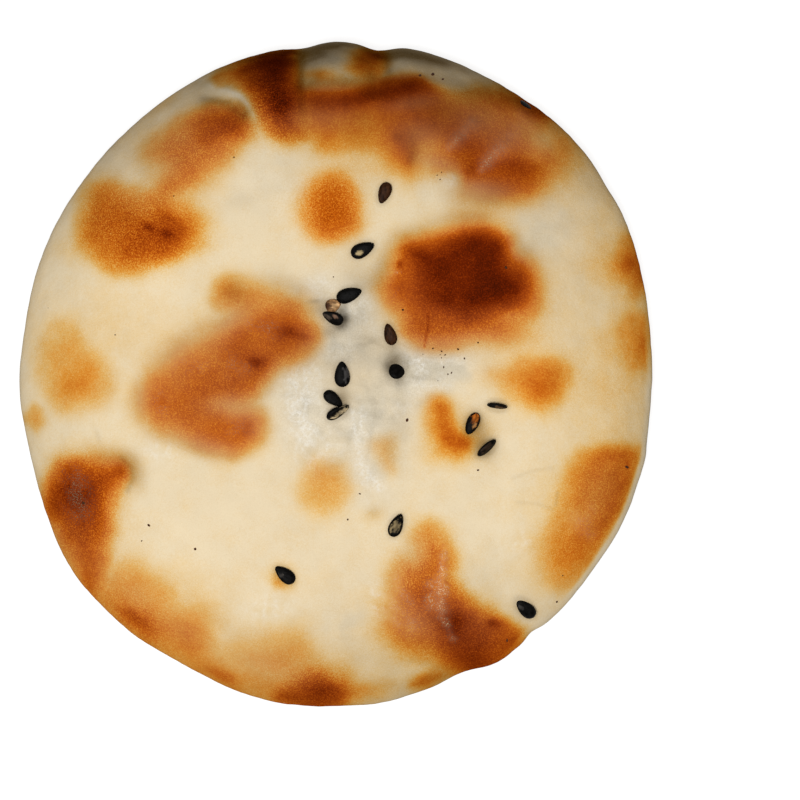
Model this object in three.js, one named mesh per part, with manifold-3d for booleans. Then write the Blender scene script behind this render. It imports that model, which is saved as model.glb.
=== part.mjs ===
// A shaobing: a hand-shaped round flatbread with a puffed ring, a pressed middle, a pleated back edge,
// blisters that stand up from the crust where it browns, and black sesame seeds baked into the top.
// Millimetres, +Z up. The origin is the middle of the flat underside, and +Y points to the pleated edge.
import * as THREE from "three";
import { mergeVertices } from "three/addons/utils/BufferGeometryUtils.js";
import Module from "manifold-3d";

// The plan is an ellipse that the hand-shaped edge strays from by up to a millimetre.
const LONG_DIAMETER = 93.6;
const SHORT_DIAMETER = 88.8;
const LONG_AXIS_BEARING = 70; // degrees, counter-clockwise from +X

// The section: flat below, widest a quarter of the way up, then sloping up to a level top.
const THICKNESS = 12.6; // at the crown of the ring, before the blisters
const WIDEST_HEIGHT = 3.2; // above the underside
const UNDER_CURVE = 4.2; // how far in the underside's round edge reaches
const SHOULDER = 16.0; // how far in the top's sloping shoulder reaches
const SHOULDER_POWER = 1.4; // 1 is a straight slope, 2 is an ellipse
const BACK_EDGE = { bearing: 92, spread: 34, shoulder: 6.5 }; // the shoulder is steeper there

// Facets
const SEGMENTS = 128; // round the bread
const CROWN_RINGS = 17; // across the level top
const SHOULDER_RINGS = 10;
const UNDER_RINGS = 4;
const SEED_SIDES = 6;
const SEED_RINGS = 4;
const MERGE_WITHIN = 1e-4; // corners this close are one

// Swells (+) and flats or nicks (-) of the edge: bearing and spread in degrees, rise in mm.
const EDGE_SWELLS = [
  { bearing: 312, spread: 12, rise: 0.9 }, // the browned lobe at the lower right
  { bearing: 336, spread: 9, rise: 0.85 },
  { bearing: 292.5, spread: 2.6, rise: -0.5 }, // the nick where that lobe ends
  { bearing: 300, spread: 2.4, rise: 0.4 },
  { bearing: 307.6, spread: 1.4, rise: -0.45 },
  { bearing: 278.5, spread: 3.0, rise: 0.2 },
  { bearing: 345, spread: 2.2, rise: 0.2 },
  { bearing: 6, spread: 7, rise: -0.2 },
  { bearing: 35, spread: 2.6, rise: -0.25 },
  { bearing: 40, spread: 13, rise: 0.8 }, // the right shoulder
  { bearing: 75, spread: 5, rise: 0.35 },
  { bearing: 82.4, spread: 2.2, rise: -0.85 }, // the two pleats of the back edge, with a knuckle between
  { bearing: 90, spread: 3.0, rise: 0.3 },
  { bearing: 95.5, spread: 2.0, rise: -0.4 },
  { bearing: 108, spread: 9, rise: 0.3 },
  { bearing: 172, spread: 7, rise: -0.5 },
  { bearing: 196, spread: 9, rise: -1.0 }, // the flats at the left
  { bearing: 208, spread: 5, rise: -0.15 },
  { bearing: 227, spread: 5, rise: -0.2 },
  { bearing: 242, spread: 8, rise: -0.9 },
];

// The middle is pressed in, off centre.
const DIMPLE = { at: [4.5, -0.5], size: [15, 13], turn: 40, rise: -2.2 };

// Blisters: half length, half width, the turn of the length in degrees from +X, and the height.
const BLISTERS = [
  { at: [18.0, 13.0], size: [10, 7.5], turn: 0, rise: 1.2 }, // the darkest, right of the middle
  { at: [-14.0, -0.5], size: [12.5, 6.5], turn: 40, rise: 1.1 },
  { at: [-27.7, 20.6], size: [9, 6], turn: -20, rise: 0.9 },
  { at: [-19.0, 32.0], size: [9, 5], turn: 30, rise: 0.6 },
  { at: [-9.5, 38.5], size: [3.2, 6.5], turn: 20, rise: 1.0 }, // the scorched fold at the back
  { at: [8.0, 37.0], size: [14, 4.0], turn: -3, rise: 1.1 },
  { at: [23.0, 32.5], size: [9.5, 6.5], turn: -30, rise: 0.8 },
  { at: [-0.6, 23.5], size: [4.5, 4.5], turn: 0, rise: 0.6 },
  { at: [-35.3, -18.9], size: [5.5, 9], turn: 20, rise: 0.9 },
  { at: [14.8, -32.2], size: [6.5, 9.5], turn: 22, rise: 1.2 },
  { at: [36.0, -19.2], size: [5.5, 9.5], turn: -20, rise: 0.9 },
  { at: [41.5, 15.0], size: [3.5, 6], turn: 15, rise: 0.4 },
  { at: [28.0, -1.8], size: [4.6, 3.6], turn: -10, rise: 0.45 },
  { at: [15.7, -8.0], size: [2.4, 4.6], turn: 25, rise: 0.4 },
  { at: [-1.3, -15.7], size: [3.4, 4.4], turn: 0, rise: 0.3 },
  { at: [-36.8, 0.5], size: [5, 6.5], turn: 20, rise: 0.4 },
  { at: [-3.2, -43.0], size: [6, 3], turn: 0, rise: 0.6 },
  { at: [-27.0, -33.0], size: [5, 3.5], turn: -40, rise: 0.5 },
  { at: [-1.0, 44.0], size: [3.6, 2.6], turn: 0, rise: 1.0 }, // the knuckles between the pleats
  { at: [5.2, 43.6], size: [2.8, 2.8], turn: 0, rise: 1.0 },
  { at: [13.5, 42.8], size: [5, 2.6], turn: -15, rise: 1.0 },
];

// Pleats run in from the back edge.
const PLEATS = [
  { bearing: 81.5, depth: 1.7 },
  { bearing: 95.5, depth: 2.0 },
];
const PLEAT_WIDTH = 1.3;
const PLEAT_LENGTH = 7.0;

// Slow unevenness of the crust, as a few crossing waves.
const WAVE_COUNT = 5;
const WAVE_RISE = 0.11; // each
const SHORTEST_WAVE = 13;
const WAVE_STEP = 4.5; // each wave is this much longer than the last
const WAVE_TURN = 137.5; // degrees between one wave's heading and the next

// Sesame. A seed lies flat along the crust, its tip to the heading. A roll of 90 stands it on edge, and
// a pitch of 90 on its blunt end. All are in degrees, and the size is a share of the full one.
const SEED_LENGTH = 3.35;
const SEED_WIDTH = 1.8;
const SEED_THICKNESS = 1.0;
const SEED_TIP_TAPER = 0.3; // how much narrower the pointed half is, unless a seed has its own
const SEED_SUNK = 0.3; // share of its depth that is in the crust, unless a seed has its own
const SEEDS = [
  { at: [7.0, 25.4], heading: 250, size: 0.92, broad: 1.05 },
  { at: [4.0, 17.5], heading: 26, size: 1.05, broad: 1.05 },
  { at: [2.1, 11.2], heading: 20, size: 1.1 },
  { at: [-0.1, 9.75], heading: 25, size: 0.68, broad: 1.5 }, // a broken piece
  { at: [-0.2, 8.0], heading: 155, size: 0.92, broad: 1.1, roll: -25 },
  { at: [7.8, 5.7], heading: 105, size: 0.93 },
  { at: [9.0, 1.0], heading: 60, size: 1.2, pitch: -42, sunk: 0.6 },
  { at: [1.1, 0.1], heading: 92, size: 1.07, broad: 1.1 },
  { at: [-0.15, -3.35], heading: 323, size: 0.93 },
  { at: [0.5, -5.2], heading: 29, size: 1.05, roll: 50 },
  { at: [22.8, -4.3], heading: -7, size: 0.86, roll: 80, taper: 0.05 },
  { at: [19.3, -6.8], heading: 245, size: 0.98, taper: 0.15 },
  { at: [21.3, -10.2], heading: 41, size: 1.0, roll: 65, taper: 0.05 },
  { at: [8.7, -21.0], heading: 66, size: 1.02 },
  { at: [-6.9, -27.9], heading: 141, size: 1.0, broad: 1.05 },
  { at: [26.7, -32.6], heading: 132, size: 1.08, pitch: -12 },
  { at: [27.0, 37.8], heading: 319, size: 0.8, sunk: 0.84 }, // on the steep side of the edge
];

const DEGREE = Math.PI / 180;
const MEAN_RADIUS = (LONG_DIAMETER + SHORT_DIAMETER) / 4;
const bell = (q) => Math.exp(-q * q);
const smooth = (t) => t * t * (3 - 2 * t);
const clamp01 = (t) => Math.min(1, Math.max(0, t));

// The angle from one bearing to another in degrees, from -180 to 180.
function bearingGap(a, b) {
  return ((((a - b + 180) % 360) + 360) % 360) - 180;
}

function edgeRadius(bearing) {
  const t = (bearing - LONG_AXIS_BEARING) * DEGREE;
  const [a, b] = [LONG_DIAMETER / 2, SHORT_DIAMETER / 2];
  const ellipse = (a * b) / Math.hypot(b * Math.cos(t), a * Math.sin(t));
  return EDGE_SWELLS.reduce(
    (r, s) => r + s.rise * bell(bearingGap(bearing, s.bearing) / s.spread / Math.SQRT2),
    ellipse,
  );
}

// The height of a round or oval bump at a point.
function bump({ at, size, turn, rise }, x, y) {
  const [c, s] = [Math.cos(turn * DEGREE), Math.sin(turn * DEGREE)];
  const u = (x - at[0]) * c + (y - at[1]) * s;
  const v = (y - at[1]) * c - (x - at[0]) * s;
  return rise * bell(Math.hypot(u / size[0], v / size[1]));
}

function pleatHeight({ bearing, depth }, x, y) {
  const theirBearing = Math.atan2(y, x) / DEGREE;
  const r = Math.hypot(x, y);
  const across = r * bearingGap(theirBearing, bearing) * DEGREE;
  const inFromEdge = edgeRadius(theirBearing) - r;
  return -depth * bell(across / PLEAT_WIDTH) * bell(inFromEdge / PLEAT_LENGTH);
}

function waveHeight(x, y) {
  let height = 0;
  for (let i = 0; i < WAVE_COUNT; i++) {
    const heading = i * WAVE_TURN * DEGREE;
    const along = x * Math.cos(heading) + y * Math.sin(heading);
    height += WAVE_RISE * Math.sin((2 * Math.PI * along) / (SHORTEST_WAVE + i * WAVE_STEP) + i);
  }
  return height;
}

// What stands up from, or sinks into, the plain domed top.
function relief(x, y) {
  const bumps = [DIMPLE, ...BLISTERS].reduce((h, b) => h + bump(b, x, y), 0);
  const pleats = PLEATS.reduce((h, p) => h + pleatHeight(p, x, y), 0);
  return bumps + pleats + waveHeight(x, y);
}

// The plain top's height, by the bearing and the distance in from the edge.
function domeHeight(bearing, inFromEdge) {
  const backShare = bell(bearingGap(bearing, BACK_EDGE.bearing) / BACK_EDGE.spread);
  const shoulder = SHOULDER + (BACK_EDGE.shoulder - SHOULDER) * backShare;
  const outward = clamp01(1 - inFromEdge / shoulder);
  const upward = Math.pow(1 - Math.pow(outward, SHOULDER_POWER), 1 / SHOULDER_POWER);
  return WIDEST_HEIGHT + (THICKNESS - WIDEST_HEIGHT) * upward;
}

// The relief fades out down the shoulder, so that the edge keeps its plan.
function reliefShare(plainHeight) {
  return smooth(clamp01((plainHeight - WIDEST_HEIGHT) / (THICKNESS - WIDEST_HEIGHT)));
}

function topHeight(x, y) {
  const r = Math.hypot(x, y);
  const bearing = Math.atan2(y, x) / DEGREE;
  const plain = domeHeight(bearing, MEAN_RADIUS * (1 - r / edgeRadius(bearing)));
  return plain + relief(x, y) * reliefShare(plain);
}

// Half the plain section, from the middle of the underside round the edge to the middle of the top, which
// is level here.
function section() {
  const points = [new THREE.Vector2(0, 0)];
  for (let i = 0; i <= UNDER_RINGS; i++) {
    const a = (i / UNDER_RINGS) * (Math.PI / 2);
    points.push(
      new THREE.Vector2(MEAN_RADIUS - UNDER_CURVE * (1 - Math.sin(a)), WIDEST_HEIGHT * (1 - Math.cos(a))),
    );
  }
  for (let i = 1; i <= SHOULDER_RINGS; i++) {
    const inFromEdge = SHOULDER * Math.pow(i / SHOULDER_RINGS, 2);
    points.push(new THREE.Vector2(MEAN_RADIUS - inFromEdge, WIDEST_HEIGHT));
  }
  for (let i = CROWN_RINGS - 1; i >= 0; i--) {
    points.push(new THREE.Vector2(((MEAN_RADIUS - SHOULDER) * i) / CROWN_RINGS, WIDEST_HEIGHT));
  }
  return points;
}

// The section turned round the axis and fitted to the uneven edge, with the top raised to its height.
function crustGeometry() {
  const geometry = new THREE.LatheGeometry(section(), SEGMENTS).rotateX(Math.PI / 2);
  const position = geometry.getAttribute("position");
  for (let i = 0; i < position.count; i++) {
    const stretch = edgeRadius(Math.atan2(position.getY(i), position.getX(i)) / DEGREE) / MEAN_RADIUS;
    const [x, y, z] = [position.getX(i) * stretch, position.getY(i) * stretch, position.getZ(i)];
    position.setXYZ(i, x, y, z < WIDEST_HEIGHT ? z : topHeight(x, y));
  }
  return geometry;
}

// A flat teardrop, its tip along +X and its flat sides facing up and down.
function seedGeometry(size, broad, taper) {
  const geometry = new THREE.SphereGeometry(1, SEED_SIDES, SEED_RINGS).rotateZ(-Math.PI / 2);
  const position = geometry.getAttribute("position");
  for (let i = 0; i < position.count; i++) {
    const along = position.getX(i);
    const girth = (1 - taper * along) * size;
    position.setXYZ(
      i,
      (along * size * SEED_LENGTH) / 2,
      (position.getY(i) * girth * broad * SEED_WIDTH) / 2,
      (position.getZ(i) * girth * SEED_THICKNESS) / 2,
    );
  }
  return geometry;
}

// A seed laid on the crust, along its slope.
function placedSeed(seed) {
  const { at: [x, y], heading, size } = seed;
  const { broad = 1, roll = 0, pitch = 0, taper = SEED_TIP_TAPER, sunk = SEED_SUNK } = seed;
  const reach = SEED_WIDTH / 4;
  const up = new THREE.Vector3(
    topHeight(x - reach, y) - topHeight(x + reach, y),
    topHeight(x, y - reach) - topHeight(x, y + reach),
    2 * reach,
  ).normalize();
  const tip = new THREE.Vector3(Math.cos(heading * DEGREE), Math.sin(heading * DEGREE), 0);
  tip.projectOnPlane(up).normalize();
  const placed = new THREE.Matrix4().makeBasis(tip, up.clone().cross(tip), up);
  placed.multiply(new THREE.Matrix4().makeRotationY(-pitch * DEGREE));
  placed.multiply(new THREE.Matrix4().makeRotationX(roll * DEGREE));
  const depth =
    size *
    Math.hypot(
      SEED_THICKNESS * Math.cos(roll * DEGREE) * Math.cos(pitch * DEGREE),
      broad * SEED_WIDTH * Math.sin(roll * DEGREE),
      SEED_LENGTH * Math.sin(pitch * DEGREE),
    );
  const middle = new THREE.Vector3(x, y, topHeight(x, y)).addScaledVector(up, depth * (0.5 - sunk));
  return seedGeometry(size, broad, taper).applyMatrix4(placed.setPosition(middle));
}

const wasm = await Module();
wasm.setup();

function solidFrom(geometry) {
  const bare = geometry.clone().deleteAttribute("normal").deleteAttribute("uv");
  const merged = mergeVertices(bare, MERGE_WITHIN);
  return new wasm.Manifold(
    new wasm.Mesh({
      numProp: 3,
      vertProperties: new Float32Array(merged.getAttribute("position").array),
      triVerts: new Uint32Array(merged.index.array),
    }),
  );
}

function geometryFrom(solid) {
  const mesh = solid.getMesh();
  const geometry = new THREE.BufferGeometry();
  geometry.setAttribute("position", new THREE.BufferAttribute(mesh.vertProperties, 3));
  geometry.setIndex(new THREE.BufferAttribute(mesh.triVerts, 1));
  geometry.computeVertexNormals();
  return geometry;
}

// The bread is one solid, with its seeds fused on.
function breadGeometry() {
  const crust = solidFrom(crustGeometry());
  const seeded = SEEDS.reduce((solid, seed) => solid.add(solidFrom(placedSeed(seed))), crust);
  return geometryFrom(seeded);
}

const bakedCrust = new THREE.MeshStandardMaterial({ color: 0xe6c48d, roughness: 0.55, metalness: 0 });
const shaobing = new THREE.Mesh(breadGeometry(), bakedCrust);
shaobing.name = "shaobing";

const part = new THREE.Group();
part.add(shaobing);

export default part;
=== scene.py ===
"""The looks of a shaobing: a hand-shaped round flatbread, seen from straight above in soft studio light.

The crust is one fine mesh with the part's own form. Its browning and its other looks are worked out point
by point from the places listed below and kept with the mesh, and the crust's material turns them into colour.
The sesame seeds and the flecks are pieces of their own. Lengths are in millimetres up to the meshes, which
are in metres.
"""

import itertools

import bpy
import numpy as np
from mathutils import Matrix, Vector


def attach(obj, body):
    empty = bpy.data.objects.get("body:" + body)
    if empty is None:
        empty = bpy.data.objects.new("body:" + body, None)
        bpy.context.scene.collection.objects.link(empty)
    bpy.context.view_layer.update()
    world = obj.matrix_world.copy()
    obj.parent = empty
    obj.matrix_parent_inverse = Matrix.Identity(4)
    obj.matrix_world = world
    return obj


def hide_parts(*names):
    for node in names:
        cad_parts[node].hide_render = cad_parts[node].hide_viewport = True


MM = 0.001
DEGREE = np.pi / 180
WHITE = (1, 1, 1, 1)

# The plan and the section, as the part's solid has them
LONG_DIAMETER = 93.6
SHORT_DIAMETER = 88.8
LONG_AXIS_BEARING = 70
THICKNESS = 12.6
WIDEST_HEIGHT = 3.2
UNDER_CURVE = 4.2
SHOULDER = 16.0
SHOULDER_POWER = 1.4
BACK_BEARING = 92
BACK_SPREAD = 34
BACK_SHOULDER = 6.5
MEAN_RADIUS = (LONG_DIAMETER + SHORT_DIAMETER) / 4

# Swells and nicks of the edge: bearing and spread in degrees, rise
EDGE_SWELLS = [
    (312, 12, 0.9), (336, 9, 0.85), (292.5, 2.6, -0.5), (300, 2.4, 0.4), (307.6, 1.4, -0.45),
    (278.5, 3, 0.2), (345, 2.2, 0.2), (6, 7, -0.2), (35, 2.6, -0.25), (40, 13, 0.8), (75, 5, 0.35),
    (82.4, 2.2, -0.85), (90, 3, 0.3), (95.5, 2, -0.4), (108, 9, 0.3), (172, 7, -0.5), (196, 9, -1),
    (208, 5, -0.15), (227, 5, -0.2), (242, 8, -0.9),
]

# Bumps of the top: middle, half length, half width, turn in degrees, rise. The first is the pressed middle.
BUMPS = [
    (4.5, -0.5, 15, 13, 40, -2.2), (18, 13, 10, 7.5, 0, 1.2), (-14, -0.5, 12.5, 6.5, 40, 1.1),
    (-27.7, 20.6, 9, 6, -20, 0.9), (-19, 32, 9, 5, 30, 0.6), (-9.5, 38.5, 3.2, 6.5, 20, 1),
    (8, 37, 14, 4, -3, 1.1), (23, 32.5, 9.5, 6.5, -30, 0.8), (-0.6, 23.5, 4.5, 4.5, 0, 0.6),
    (-35.3, -18.9, 5.5, 9, 20, 0.9), (14.8, -32.2, 6.5, 9.5, 22, 1.2), (36, -19.2, 5.5, 9.5, -20, 0.9),
    (41.5, 15, 3.5, 6, 15, 0.4), (28, -1.8, 4.6, 3.6, -10, 0.45), (15.7, -8, 2.4, 4.6, 25, 0.4),
    (-1.3, -15.7, 3.4, 4.4, 0, 0.3), (-36.8, 0.5, 5, 6.5, 20, 0.4), (-3.2, -43, 6, 3, 0, 0.6),
    (-27, -33, 5, 3.5, -40, 0.5), (-1, 44, 3.6, 2.6, 0, 1), (5.2, 43.6, 2.8, 2.8, 0, 1),
    (13.5, 42.8, 5, 2.6, -15, 1),
]

# Pleats of the back edge: bearing, depth
PLEATS = [(81.5, 1.7), (95.5, 2.0)]
PLEAT_WIDTH = 1.3
PLEAT_LENGTH = 7.0

# Slow unevenness of the crust
WAVE_COUNT = 5
WAVE_RISE = 0.11
SHORTEST_WAVE = 13
WAVE_STEP = 4.5
WAVE_TURN = 137.5

# Spacing of the crust's points, and the steps that each stretch of its section is first drawn in
TOP_SPACING = 0.31
SIDE_SPACING = 0.45
UNDER_SPACING = 1.1
SECTION_STEPS = 2000

# Noises: width of one feature, octaves, seed
WANDER_NOISES = [(4.0, 2, 11), (4.0, 2, 23)]
PATCHINESS_NOISE = (3.5, 3, 37)
WRINKLE_NOISE = (2.6, 3, 53)
LUMP_NOISE = (4.5, 3, 59)
ROUGH_NOISE = (1.1, 2, 61)
BLOTCH_NOISE = (13.0, 2, 71)
UNDER_NOISE = (6.0, 3, 73)
EDGE_SHADE_NOISE = (3.0, 3, 83)
SKIN_TONE_NOISE = (2.4, 4, 89)
GREY_SKIN_NOISE = (2.0, 4, 97)
RIDGE_GLINT_NOISE = (1.2, 2, 101)
CRUMPLE_NOISE = (1.5, 3, 103)
HULL_NOISE = (0.3, 3, 107)  # on a seed that fills a box from -1 to 1
LATTICE = 64  # features until a noise repeats

# Fine relief of the crust
WRINKLED = (4.5, -1.5, 9.5, 8.5, 30)  # middle, half length, half width, turn in degrees
WRINKLE_RISE = 0.3
WRINKLE_MIDDLE = 0.5  # strength of the noise that leaves the skin at its own height
LUMP_RISE = 0.06
ROUGH_RISE = 0.035
ROUGH_PALE = 0.4  # how rough pale skin is, to which browned skin adds its level

# The browning of the underside
UNDER_LEVEL = 0.52
BLOTCH_LOW = 0.2  # a blotch starts where the noise is this far below 0
BLOTCH_SPREAD = 0.8  # and is full this far above there
UNDER_UNEVEN = 0.22

# Browned patches: level from 0 (pale dough) to 1 (scorched), how far the edge fades, the bearing of its
# softest side and how many times softer that is, and the corners of the outline, which a smooth line joins
PATCHES = {
    "left blister": (0.54, 1.5, 45, 1.6, [
        (-33.4, 27), (-31, 26.8), (-28.5, 26), (-26, 25.2), (-23.5, 24.3), (-20.5, 23), (-18.3, 21.2),
        (-18, 19.4), (-19.8, 17.5), (-23, 16.1), (-26, 14.8), (-28.5, 13.7), (-31, 14.1), (-33.2, 15.6),
        (-34.8, 17.4), (-35.9, 19.4), (-35.8, 21.8), (-35.4, 24.2), (-34.8, 26),
    ]),
    "top left blister": (0.54, 1.6, 215, 1.7, [
        (-12, 36.4), (-13.4, 38.4), (-16, 38.7), (-18.5, 37.6), (-21, 36.2), (-23.6, 34.7), (-25.6, 32.8),
        (-26.4, 31), (-25.6, 29.6), (-24.4, 28.4), (-22.6, 27.2), (-19.6, 27), (-16.8, 28.6),
        (-13.8, 30.8), (-11.6, 32.6), (-11.2, 34.6),
    ]),
    "scorched fold": (0.74, 1.2, 290, 1.5, [
        (-17.2, 41.6), (-16, 42.9), (-14, 44.2), (-12, 44.9), (-9, 45.8), (-6.2, 46.2), (-5.2, 44.5),
        (-5, 42), (-4.7, 40.2), (-4.2, 37), (-4, 35), (-4.3, 33.2), (-6.5, 32.8), (-8.5, 33.6),
        (-10.2, 35.2), (-11.2, 37), (-12, 38.8), (-12.9, 40.2), (-14.6, 40.9), (-16.4, 41),
    ]),
    "back crest and top right blister": (0.54, 1.7, 285, 1.4, [
        (-4.4, 33.6), (-4.6, 36), (-4.9, 38.6), (-3.5, 39.7), (0, 40.4), (5, 41.2), (9, 41.6), (12, 41.2),
        (15, 40), (18, 39.7), (21, 39.9), (24, 41), (28, 39.4), (30.4, 36.6), (29.2, 34.6), (28.8, 32.8),
        (29.2, 31), (29.5, 29), (29, 27), (27, 26), (24, 25.6), (21, 25.8), (18.6, 26), (17.4, 27),
        (16.2, 28.4), (14.8, 29.4), (13.8, 30.2), (12.8, 30.2), (12.2, 29.6), (11.6, 28.6), (10.6, 28),
        (9.4, 28.4), (7.8, 29.6), (6.2, 31), (4.2, 31.4), (2, 31.6), (0, 31.2), (-2, 31.6),
    ]),
    "round blister": (0.56, 1.5, 170, 1.6, [
        (-0.5, 28), (2, 27.2), (3.6, 25), (3.9, 22.4), (3, 20.1), (0.5, 18.9), (-2.2, 19.2), (-4, 20.8),
        (-4.8, 23), (-4.4, 25.4), (-3, 27.2),
    ]),
    "dark blister": (0.62, 1.6, 290, 1.4, [
        (6.3, 13.2), (7.2, 15.6), (8.2, 17.6), (10.2, 19.2), (13, 20), (16, 20.9), (19, 21.6),
        (21.8, 21.2), (24.2, 19.9), (25.8, 17.8), (27.4, 16), (28.6, 13.6), (28.9, 11.4), (28, 9.2),
        (26.6, 7.4), (24, 6), (20.5, 4.7), (16.5, 3.9), (12.8, 3.8), (10, 5.2), (8.4, 7.8), (6.8, 10.4),
    ]),
    "dark blister's core": (0.84, 1.7, 225, 1.5, [
        (9.4, 17.6), (11.6, 18.6), (14.3, 19.2), (16.2, 20), (18.6, 20.6), (21.8, 20.4), (24.4, 19),
        (25.6, 17), (26.8, 15), (27.5, 12.6), (26.8, 10.2), (23.6, 8.4), (19.4, 7), (16, 6.9), (13.2, 7.8),
        (11.6, 10), (11.2, 13), (10.2, 15.4),
    ]),
    "middle left blister": (0.6, 1.5, 140, 2, [
        (-2, 5), (-2.9, 7.4), (-4.4, 9.4), (-6.4, 10.2), (-9.5, 10.4), (-12.5, 9.4), (-15, 7.6),
        (-17.5, 6), (-19.6, 4.6), (-21.8, 3.2), (-23.6, 1.6), (-25.3, -0.3), (-26.9, -2.7), (-27, -4.6),
        (-26, -6.4), (-24.2, -7.8), (-21.5, -8.8), (-19.5, -10.2), (-17, -11.2), (-14, -11.2),
        (-11.6, -10.2), (-9.9, -8.8), (-9.5, -6.8), (-10, -5.2), (-10.9, -3.8), (-9.8, -2.4), (-8.6, -0.8),
        (-7, 0.6), (-5, 1.8), (-3.2, 3),
    ]),
    "gold over the middle left blister": (0.41, 1.2, 60, 1.6, [
        (-17, 11.2), (-16.6, 12.8), (-14.6, 13.8), (-12.6, 13.4), (-9.4, 12.2), (-7, 11.2), (-8, 9.6),
        (-13, 9), (-16.2, 9.6),
    ]),
    "golden left": (0.33, 1.7, 180, 1.5, [
        (-41.2, 4), (-40, 6.3), (-37.2, 6.9), (-35.4, 5.4), (-34.6, 3.6), (-32.8, 2.4), (-31.2, 0.4),
        (-31, -2.4), (-32.4, -4.2), (-35.5, -5), (-38.5, -4.6), (-40.2, -2.4), (-41.2, 0.6),
    ]),
    "left edge spot": (0.36, 1, 0, 1, [
        (-43.6, -6), (-42.4, -4.1), (-40.8, -4.8), (-40.4, -6.8), (-41.8, -7.8),
    ]),
    "left dark blister": (0.56, 1.5, 70, 1.5, [
        (-39.6, -14), (-38.1, -12.3), (-34.9, -11.4), (-32.1, -11.5), (-30, -12.1), (-28.6, -13.2),
        (-28.5, -14.6), (-29.5, -15.7), (-30.3, -17.1), (-30.7, -19.2), (-31, -21.7), (-31.3, -24.2),
        (-31.7, -26.6), (-32.4, -29), (-33.4, -31.4), (-36, -30.4), (-38, -26.4), (-39.8, -22),
        (-41.2, -18.2), (-41, -15.6),
    ]),
    "front left rim": (0.32, 2, 60, 1.5, [
        (-31, -27), (-28.4, -26.6), (-25, -28), (-22.8, -30), (-22, -32), (-17.8, -33), (-17, -36),
        (-16, -38.2), (-12, -37.6), (-8, -36.6), (-5, -37.2), (-3.6, -39), (-1, -40.6), (2, -41.6),
        (2, -48), (-10, -48), (-22, -44), (-32, -37), (-36, -31),
    ]),
    "front edge": (0.47, 1.2, 90, 1.5, [
        (-9.2, -44.2), (-7.8, -42.6), (-5.4, -41.6), (-3.6, -40.8), (-1, -41.2), (0.8, -41.8), (2, -43),
        (2.2, -45), (1.4, -48), (-3, -48.6), (-9, -48),
    ]),
    "front right rim": (0.4, 1.1, 90, 1.5, [
        (10.6, -43.6), (12.4, -42.2), (14.6, -41.4), (15.6, -42.4), (13.6, -44.4),
    ]),
    "lower right lobe": (0.54, 1.5, 205, 2.2, [
        (9, -26), (8.6, -27.4), (8.2, -28.8), (8.2, -30.4), (7.6, -31.8), (7.2, -33.4), (7.6, -35.2),
        (8.8, -36.8), (11, -38.4), (13.2, -39.8), (15.2, -41.2), (17.5, -42.4), (20, -42.8), (23, -41.4),
        (26, -39), (28, -36.8), (25.8, -35.4), (23.8, -34.2), (22.5, -33), (20.5, -32), (19, -31),
        (17.8, -29.8), (17.2, -28), (17.2, -26), (16.6, -24), (15.6, -22), (14, -20.6), (12.6, -20.4),
        (11.4, -21.6), (11, -23.2), (11.2, -25.2), (10.2, -25.6),
    ]),
    "tip of the lower right lobe": (0.68, 1.5, 120, 1.6, [
        (13.4, -35), (14.8, -32.6), (16.6, -31.6), (18.6, -32), (20.6, -33.4), (23.4, -34.6), (26, -36.4),
        (27.6, -37.8), (24, -40.4), (20, -42.2), (16.8, -41.4), (14.6, -39.6), (13.6, -37.4),
    ]),
    "right blister": (0.4, 1.3, 200, 1.9, [
        (34.5, -10.6), (37, -10), (40, -9.9), (42.6, -10.2), (43.6, -12), (43.3, -14), (42.4, -16.4),
        (41.4, -18.6), (40, -21), (38.8, -23.2), (37.6, -25.6), (36.2, -27.8), (34.4, -29.8),
        (32.2, -30.6), (30.4, -29.6), (29.2, -27.6), (28.6, -25.2), (29.2, -23), (30.4, -20.6),
        (31.4, -18.6), (31.8, -16.2), (32.2, -14), (33, -12),
    ]),
    "small right": (0.46, 1.5, 190, 1.5, [
        (23.8, 0.4), (25.5, 1.8), (28.5, 2.3), (31.2, 2.1), (32.6, 0.7), (32.6, -1.6), (31.6, -3.6),
        (29.4, -4.9), (27.2, -4.4), (25.2, -2.8), (23.8, -1.2),
    ]),
    "beside the right seeds": (0.54, 1.3, 250, 1.7, [
        (12.9, -4.2), (13.5, -3.1), (15.2, -3.1), (16.2, -4.6), (16.6, -6.4), (17.2, -8), (18.2, -9.6),
        (18, -11.2), (16.4, -12), (14.4, -11.2), (13.2, -9.2), (12.8, -7),
    ]),
    "in the pressed middle": (0.28, 1.1, 0, 1, [
        (4.7, -9.4), (6.2, -8.3), (7.8, -8.1), (8.8, -9.6), (9.2, -11.6), (9, -13.4), (7.6, -13.2),
        (6.2, -11.9), (5.1, -10.7),
    ]),
    "below the pressed middle": (0.31, 1.6, 0, 1, [
        (-3.6, -12.2), (-1.4, -11.3), (1, -12), (2.4, -13.8), (2.2, -16.6), (0.6, -19), (-2, -19.4),
        (-3.8, -18.4), (-4.6, -16),
    ]),
    "right edge": (0.44, 1.3, 190, 2.2, [
        (39.2, 15.6), (40, 18), (41.6, 19.4), (45, 18), (46, 12), (44.6, 10.6), (42.6, 11.4), (41, 12.6),
        (39.8, 14),
    ]),
    "right edge, lower": (0.38, 1.5, 190, 2, [
        (39.8, 6), (41.2, 8.4), (44.4, 9), (46, 5), (45, 0.6), (42.6, 0.8), (40.4, 3),
    ]),
    "knuckle": (0.5, 1.2, 0, 1, [
        (1.8, 43.4), (3, 45.6), (6, 46.2), (7.6, 45.2), (7.4, 43.2), (6.4, 41.8), (4.2, 41.6), (2.4, 42.2),
    ]),
}
FADE_INWARD = 1.3  # a patch fades over this many times its fade inside its outline
FADE_OUTWARD = 0.85  # and this many times outside it
FADE_LIMIT = 10.0  # how far outside its outline a patch is worked out
PATCH_JOIN = 4.0  # how sharply one patch takes over from another
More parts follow.
